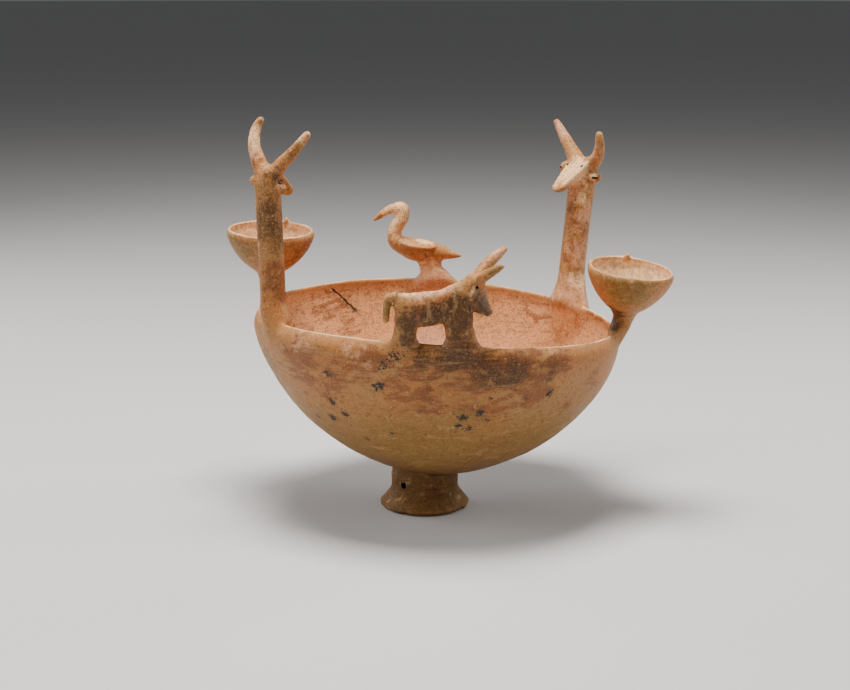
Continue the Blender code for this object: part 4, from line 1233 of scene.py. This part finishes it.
def paint(thing):
    """Give every vertex its share of each stain and of the painted light and shade, and whether it is
    inside a dish or on an edge.
    """
    mesh = thing.data
    places = vertex_values(mesh, "co")
    inner, lip = dishes(places)
    sides = {"inside": inner, "outside": 1 - inner, "both": 1.0}
    layers = {tone: np.zeros(len(places)) for tone in TONES}
    for (side, tone), stains_and_light in STAINS_AND_PAINTED_LIGHT.items():
        for *spot, reach, strength in stains_and_light:
            distance = distances(places, np.array(spot) / 1000)
            share = bump(distance, reach / 1000) * strength * sides[side]
            layers[tone] = np.maximum(layers[tone], share)
    cut = np.zeros(len(places))
    for polygon in mesh.polygons:
        if polygon.material_index == 1:
            cut[list(polygon.vertices)] = 1
    layers.update(inner=inner, lip=lip, cut=cut, edge=edges_and_hollows(thing))
    for name, values in layers.items():
        attribute = mesh.attributes.new(name, "FLOAT", "POINT")
        attribute.data.foreach_set("value", values.astype(np.float32))


class Nodes:
    """Short ways of adding shader nodes to one material, and the colour that its coats make up."""

    def __init__(self, name):
        self.material = bpy.data.materials.new(name)
        self.material.use_nodes = True
        self.tree = self.material.node_tree
        self.shader = self.tree.nodes["Principled BSDF"]
        self.place = self.add("TexCoord", {}, "Object")
        self.colour = None

    def add(self, kind, inputs, output, **settings):
        """One output of a new node, its inputs and output given by their names or numbers."""
        node = self.tree.nodes.new("ShaderNode" + kind)
        for name, value in settings.items():
            setattr(node, name, value)
        self.give(node, inputs)
        return node.outputs[output]

    def give(self, node, inputs):
        for key, value in inputs.items():
            if isinstance(value, bpy.types.NodeSocket):
                self.tree.links.new(value, node.inputs[key])
            else:
                node.inputs[key].default_value = value

    def share(self, name):
        """A share that was painted on the vertices."""
        return self.add("Attribute", {}, "Fac", attribute_name=name, attribute_type="GEOMETRY")

    def noise(self, pattern, stretch=None):
        """Noise of a (scale, detail, roughness, distortion), drawn out along each axis or not."""
        inputs = dict(zip(("Scale", "Detail", "Roughness", "Distortion"), pattern), Vector=self.place)
        if stretch:
            inputs["Vector"] = self.add("Mapping", {"Vector": self.place, "Scale": stretch}, "Vector")
        return self.add("TexNoise", inputs, "Fac")

    def grains(self, scale):
        """The distance from the nearest of many scattered points."""
        return self.add("TexVoronoi", {"Vector": self.place, "Scale": scale}, "Distance")

    def ramp(self, value, low, high, bottom=0.0, top=1.0):
        """A smooth change from bottom to top as a value goes from low to high."""
        inputs = {"Value": value, "From Min": low, "From Max": high, "To Min": bottom, "To Max": top}
        return self.add("MapRange", inputs, "Result", interpolation_type="SMOOTHSTEP")

    def maths(self, kind, first, second):
        return self.add("Math", {0: first, 1: second}, "Value", operation=kind, use_clamp=True)

    def times(self, first, second):
        return self.maths("MULTIPLY", first, second)

    def blend(self, amount, first, second):
        return self.add("Mix", {0: amount, 2: first, 3: second}, 0, data_type="FLOAT")

    def coat(self, amount, colour, strength=1.0, kind="MIX"):
        """Lay a colour over those that are there, by an amount that differs over the surface."""
        if strength < 1:
            amount = self.times(amount, strength)
        inputs = {0: amount, 6: self.colour, 7: colour}
        self.colour = self.add("Mix", inputs, 2, data_type="RGBA", blend_type=kind)

    def broken(self, share, pattern, reach=0.3, low=0.22, high=0.62):
        """A painted share whose edge is broken up by a pattern."""
        raised = self.maths("ADD", share, self.ramp(pattern, 0.25, 0.75, -reach, reach))
        return self.times(self.ramp(raised, low, high), self.ramp(share, 0.0, 0.12))


def clay_finish():
    nodes = Nodes("fired_clay")
    shares = {tone: nodes.share(tone) for tone in TONES}
    inner = nodes.share("inner")
    edge = nodes.share("edge")
    outer = nodes.ramp(inner, 0.6, 0.2)
    height = nodes.add("SeparateXYZ", {"Vector": nodes.place}, "Z")
    above_rim = nodes.ramp(height, *RIM_BAND)

    clouds = nodes.noise(CLOUDS)
    mottle = nodes.noise(MOTTLE)
    small = nodes.noise(SMALL_SPOTS)
    fine = nodes.noise(FINE_SPOTS)
    burnish = nodes.blend(above_rim, nodes.noise(STREAKS, ROUND_THE_BOWL), nodes.noise(STREAKS, UPWARD))
    patches = nodes.blend(above_rim, nodes.noise(PATCHES, FLATTENED), nodes.noise(UPRIGHT_PATCHES))
    in_bowl = nodes.times(inner, nodes.ramp(height, *BOWL_GRAIN_BAND))
    grain = nodes.maths("ADD", nodes.ramp(height, *GRAIN_BAND), in_bowl)

    # The body of the clay, lighter within. Painted light lightens the upper inner wall. Towards the bottom
    # of the outside the clay turns ochre and dark, partly its own tone and partly painted shade.
    nodes.colour = CLAY_TAN
    nodes.coat(nodes.ramp(clouds, 0.35, 0.65), CLAY_ORANGE)
    # Ochre towards the bottom of the outside: partly the clay's own tone, partly painted shade.
    nodes.coat(nodes.times(nodes.ramp(height, *LOW_OCHRE_AND_SHADE_BAND), outer), CLAY_OCHRE, 0.65)
    nodes.coat(inner, CLAY_SALMON, 0.8)
    # Painted light: the upper inner wall is made lighter where the top light reaches it less.
    nodes.coat(nodes.times(inner, nodes.ramp(height, *UPPER_INNER_LIGHT_BAND)), CLAY_BUFF)
    # Painted shade: the outside is darkened below the bowl's lower curve and over the foot.
    nodes.coat(nodes.times(outer, nodes.ramp(height, *LOWEST_SHADE_BAND)), CLAY_DARK)

    # The stains of the fire and what is left of the red slip; some of the dark, pink and cream ones are
    # painted light and shade.
    nodes.coat(nodes.broken(shares["ochre"], mottle), CLAY_OCHRE)
    nodes.coat(nodes.broken(shares["pink"], mottle), CLAY_PINK)
    slip = nodes.broken(shares["red"], nodes.blend(0.3, patches, burnish), 0.66, 0.26, 0.68)
    nodes.coat(slip, CLAY_RED, 0.8)
    streaked = nodes.blend(0.5, burnish, patches)
    nodes.coat(nodes.broken(shares["dark"], nodes.blend(0.5, streaked, small), 0.55), CLAY_DARK, 0.9)
    nodes.coat(nodes.broken(shares["cream"], mottle), CLAY_CREAM, 0.75)

    # Burnishing, mottle and grain.
    nodes.coat(nodes.ramp(burnish, 0.55, 0.72), CLAY_PALE, 0.38)
    nodes.coat(nodes.ramp(burnish, 0.46, 0.3), CLAY_RED, 0.4)
    nodes.coat(nodes.ramp(mottle, 0.52, 0.74, 0.0, 0.4), CLAY_PALE)
    nodes.coat(nodes.times(grain, nodes.ramp(small, 0.56, 0.68, 0.0, 0.5)), CLAY_PALE)
    nodes.coat(nodes.ramp(small, 0.46, 0.32, 0.0, 0.5), CLAY_RED, kind="MULTIPLY")
    nodes.coat(nodes.times(grain, nodes.ramp(fine, 0.5, 0.37, 0.0, 0.58)), CLAY_DARK)
    nodes.coat(nodes.times(grain, nodes.ramp(fine, 0.57, 0.69, 0.0, 0.42)), CLAY_BUFF)

    # Pale proud edges, partly wear and partly painted highlight; painted shade in the hollows; and the
    # rubbed lips, partly wear and partly painted highlight.
    # Partly wear, partly painted highlight: the proud edges are made paler.
    nodes.coat(nodes.ramp(edge, 0.35, 0.95, 0.0, 0.45), CLAY_PALE)
    # Painted shade: the hollows and creases are darkened.
    nodes.coat(nodes.ramp(edge, -0.12, -0.6, 0.0, 0.75), CLAY_DARK)
    # Partly wear, partly painted highlight: the crests of the lips are made pale cream.
    rubbed_and_highlit = nodes.ramp(nodes.share("lip"), 0.1, 0.65)
    nodes.coat(nodes.times(rubbed_and_highlit, nodes.ramp(clouds, 0.38, 0.6, 0.15, 0.9)), CLAY_WORN_AND_HIGHLIGHT)

    # Dark flecks, pale grit and soot; painted shade in the faces of the cuts; and the faces of chips.
    many = nodes.times(nodes.ramp(shares["speckle"], 0.0, 1.0, 0.1, 0.34), nodes.ramp(mottle, 0.42, 0.62))
    nodes.coat(nodes.maths("LESS_THAN", nodes.grains(FLECK_SCALE), many), CLAY_FLECK, 0.7)
    grit = nodes.ramp(nodes.grains(GRIT_SCALE), 0.16, 0.08)
    nodes.coat(nodes.times(grit, nodes.ramp(clouds, 0.5, 0.6)), CLAY_CREAM, 0.5)
    nodes.coat(nodes.broken(shares["soot"], nodes.noise(SOOT_SPOTS), 0.55, 0.36, 0.52), CLAY_SOOT_AND_HOLE_SHADE, 0.95)
    # Painted shade: the faces of the pricks, slits, crack and holes are darkened nearly to black.
    nodes.coat(nodes.share("cut"), CLAY_SOOT_AND_HOLE_SHADE, 0.92)
    nodes.coat(shares["chip"], CLAY_CHIP)

    sheen = nodes.ramp(nodes.blend(0.5, mottle, burnish), 0.35, 0.65, *SHEEN_ROUGHNESS)
    roughness = nodes.maths("ADD", sheen, nodes.ramp(height, *DULL_FOOT_BAND))
    relief = nodes.blend(0.5, nodes.blend(0.35, fine, mottle), burnish)
    nodes.give(nodes.shader, {
        "Base Color": nodes.colour,
        "Roughness": roughness,
        "Specular IOR Level": 0.3,
        "Normal": nodes.add("Bump", {"Strength": 0.55, "Distance": 0.0006, "Height": relief}, "Normal"),
    })
    return nodes.material


def floor_finish():
    nodes = Nodes("studio_floor")
    nodes.colour = FLOOR_COLOUR
    nodes.coat(nodes.ramp(nodes.noise(PAPER), 0.3, 0.7, 0.0, 0.25), FLOOR_SHADE)
    nodes.give(nodes.shader, {"Base Color": nodes.colour, "Roughness": 0.85})
    return nodes.material


def studio_floor():
    work = bmesh.new()
    bmesh.ops.create_circle(work, cap_ends=True, segments=96, radius=FLOOR_RADIUS)
    floor = made(work, "studio_floor")
    floor.data.materials.append(floor_finish())
    floor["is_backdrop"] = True


def studio_lights():
    """Square soft boxes that look at the middle of the vessel, and a weak even light from all round."""
    for name, (place, size, power, colour) in SOFT_BOXES.items():
        lamp = bpy.data.lights.new(name, "AREA")
        lamp.shape = "SQUARE"
        lamp.size = size
        lamp.energy = power
        lamp.color = colour
        thing = new_object(name, lamp)
        thing.location = place
        thing.rotation_euler = (LIGHTS_AIM - Vector(place)).to_track_quat("-Z", "Y").to_euler()
    world = bpy.data.worlds.new("studio")
    world.use_nodes = True
    background = world.node_tree.nodes["Background"]
    background.inputs["Color"].default_value = WORLD_COLOUR
    background.inputs["Strength"].default_value = WORLD_STRENGTH
    bpy.context.scene.world = world


def studio_camera():
    lens = bpy.data.cameras.new("camera")
    lens.sensor_width = SENSOR
    lens.lens = SENSOR * FOCAL_PIXELS / PICTURE_WIDTH
    lens.shift_x = (PICTURE_WIDTH / 2 - AIM_PIXEL[0]) / PICTURE_WIDTH
    lens.shift_y = (AIM_PIXEL[1] - PICTURE_HEIGHT / 2) / PICTURE_WIDTH
    camera = new_object("camera", lens)
    camera.location = CAMERA_PLACE
    camera.rotation_euler = (math.pi / 2 - CAMERA_DIP, 0, 0)
    bpy.context.scene.camera = camera


def make_clay():
    pieces = [bowl(), foot()]
    cuts = [foot_hole(), wall_crack()] + [ball(*sizes) for sizes in DEEP_HOLES]
    for sizes in CUPS.values():
        pieces += cup(**sizes)
    figures = [protome(**sizes) for sizes in PROTOMES.values()] + [beast(), (bird(), [])]
    for figure, figure_cuts in figures:
        pieces += figure
        cuts += figure_cuts
    clay = run_together(join("vessel_clay", pieces))
    weather(clay)
    clay = fewer_triangles(clay)
    stay_inside(clay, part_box(VESSEL_NODE))
    clay = cut_from(clay, cuts)
    clay.name = "vessel_clay"
    paint(clay)
    clay.data.materials.clear()
    clay.data.materials.append(clay_finish())
    clay.data.polygons.foreach_set("material_index", [0] * len(clay.data.polygons))
    clay.data.shade_smooth()
    clay.data.set_sharp_from_angle(angle=SHARP_EDGE)
    return clay


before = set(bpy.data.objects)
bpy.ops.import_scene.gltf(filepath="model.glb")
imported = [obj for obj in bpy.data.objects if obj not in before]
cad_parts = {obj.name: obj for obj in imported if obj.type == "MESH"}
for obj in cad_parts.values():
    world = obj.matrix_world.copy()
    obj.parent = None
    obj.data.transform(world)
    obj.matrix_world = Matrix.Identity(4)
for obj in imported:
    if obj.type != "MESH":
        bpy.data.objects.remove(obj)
solid_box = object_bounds()
clay = make_clay()
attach(clay, "root")
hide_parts(VESSEL_NODE)
studio_floor()
studio_lights()
studio_camera()
sizes_of_both = {
    "cad": [list(corner) for corner in solid_box],
    "visual": [list(corner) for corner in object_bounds()],
    "triangles": triangle_count(clay.data),
}
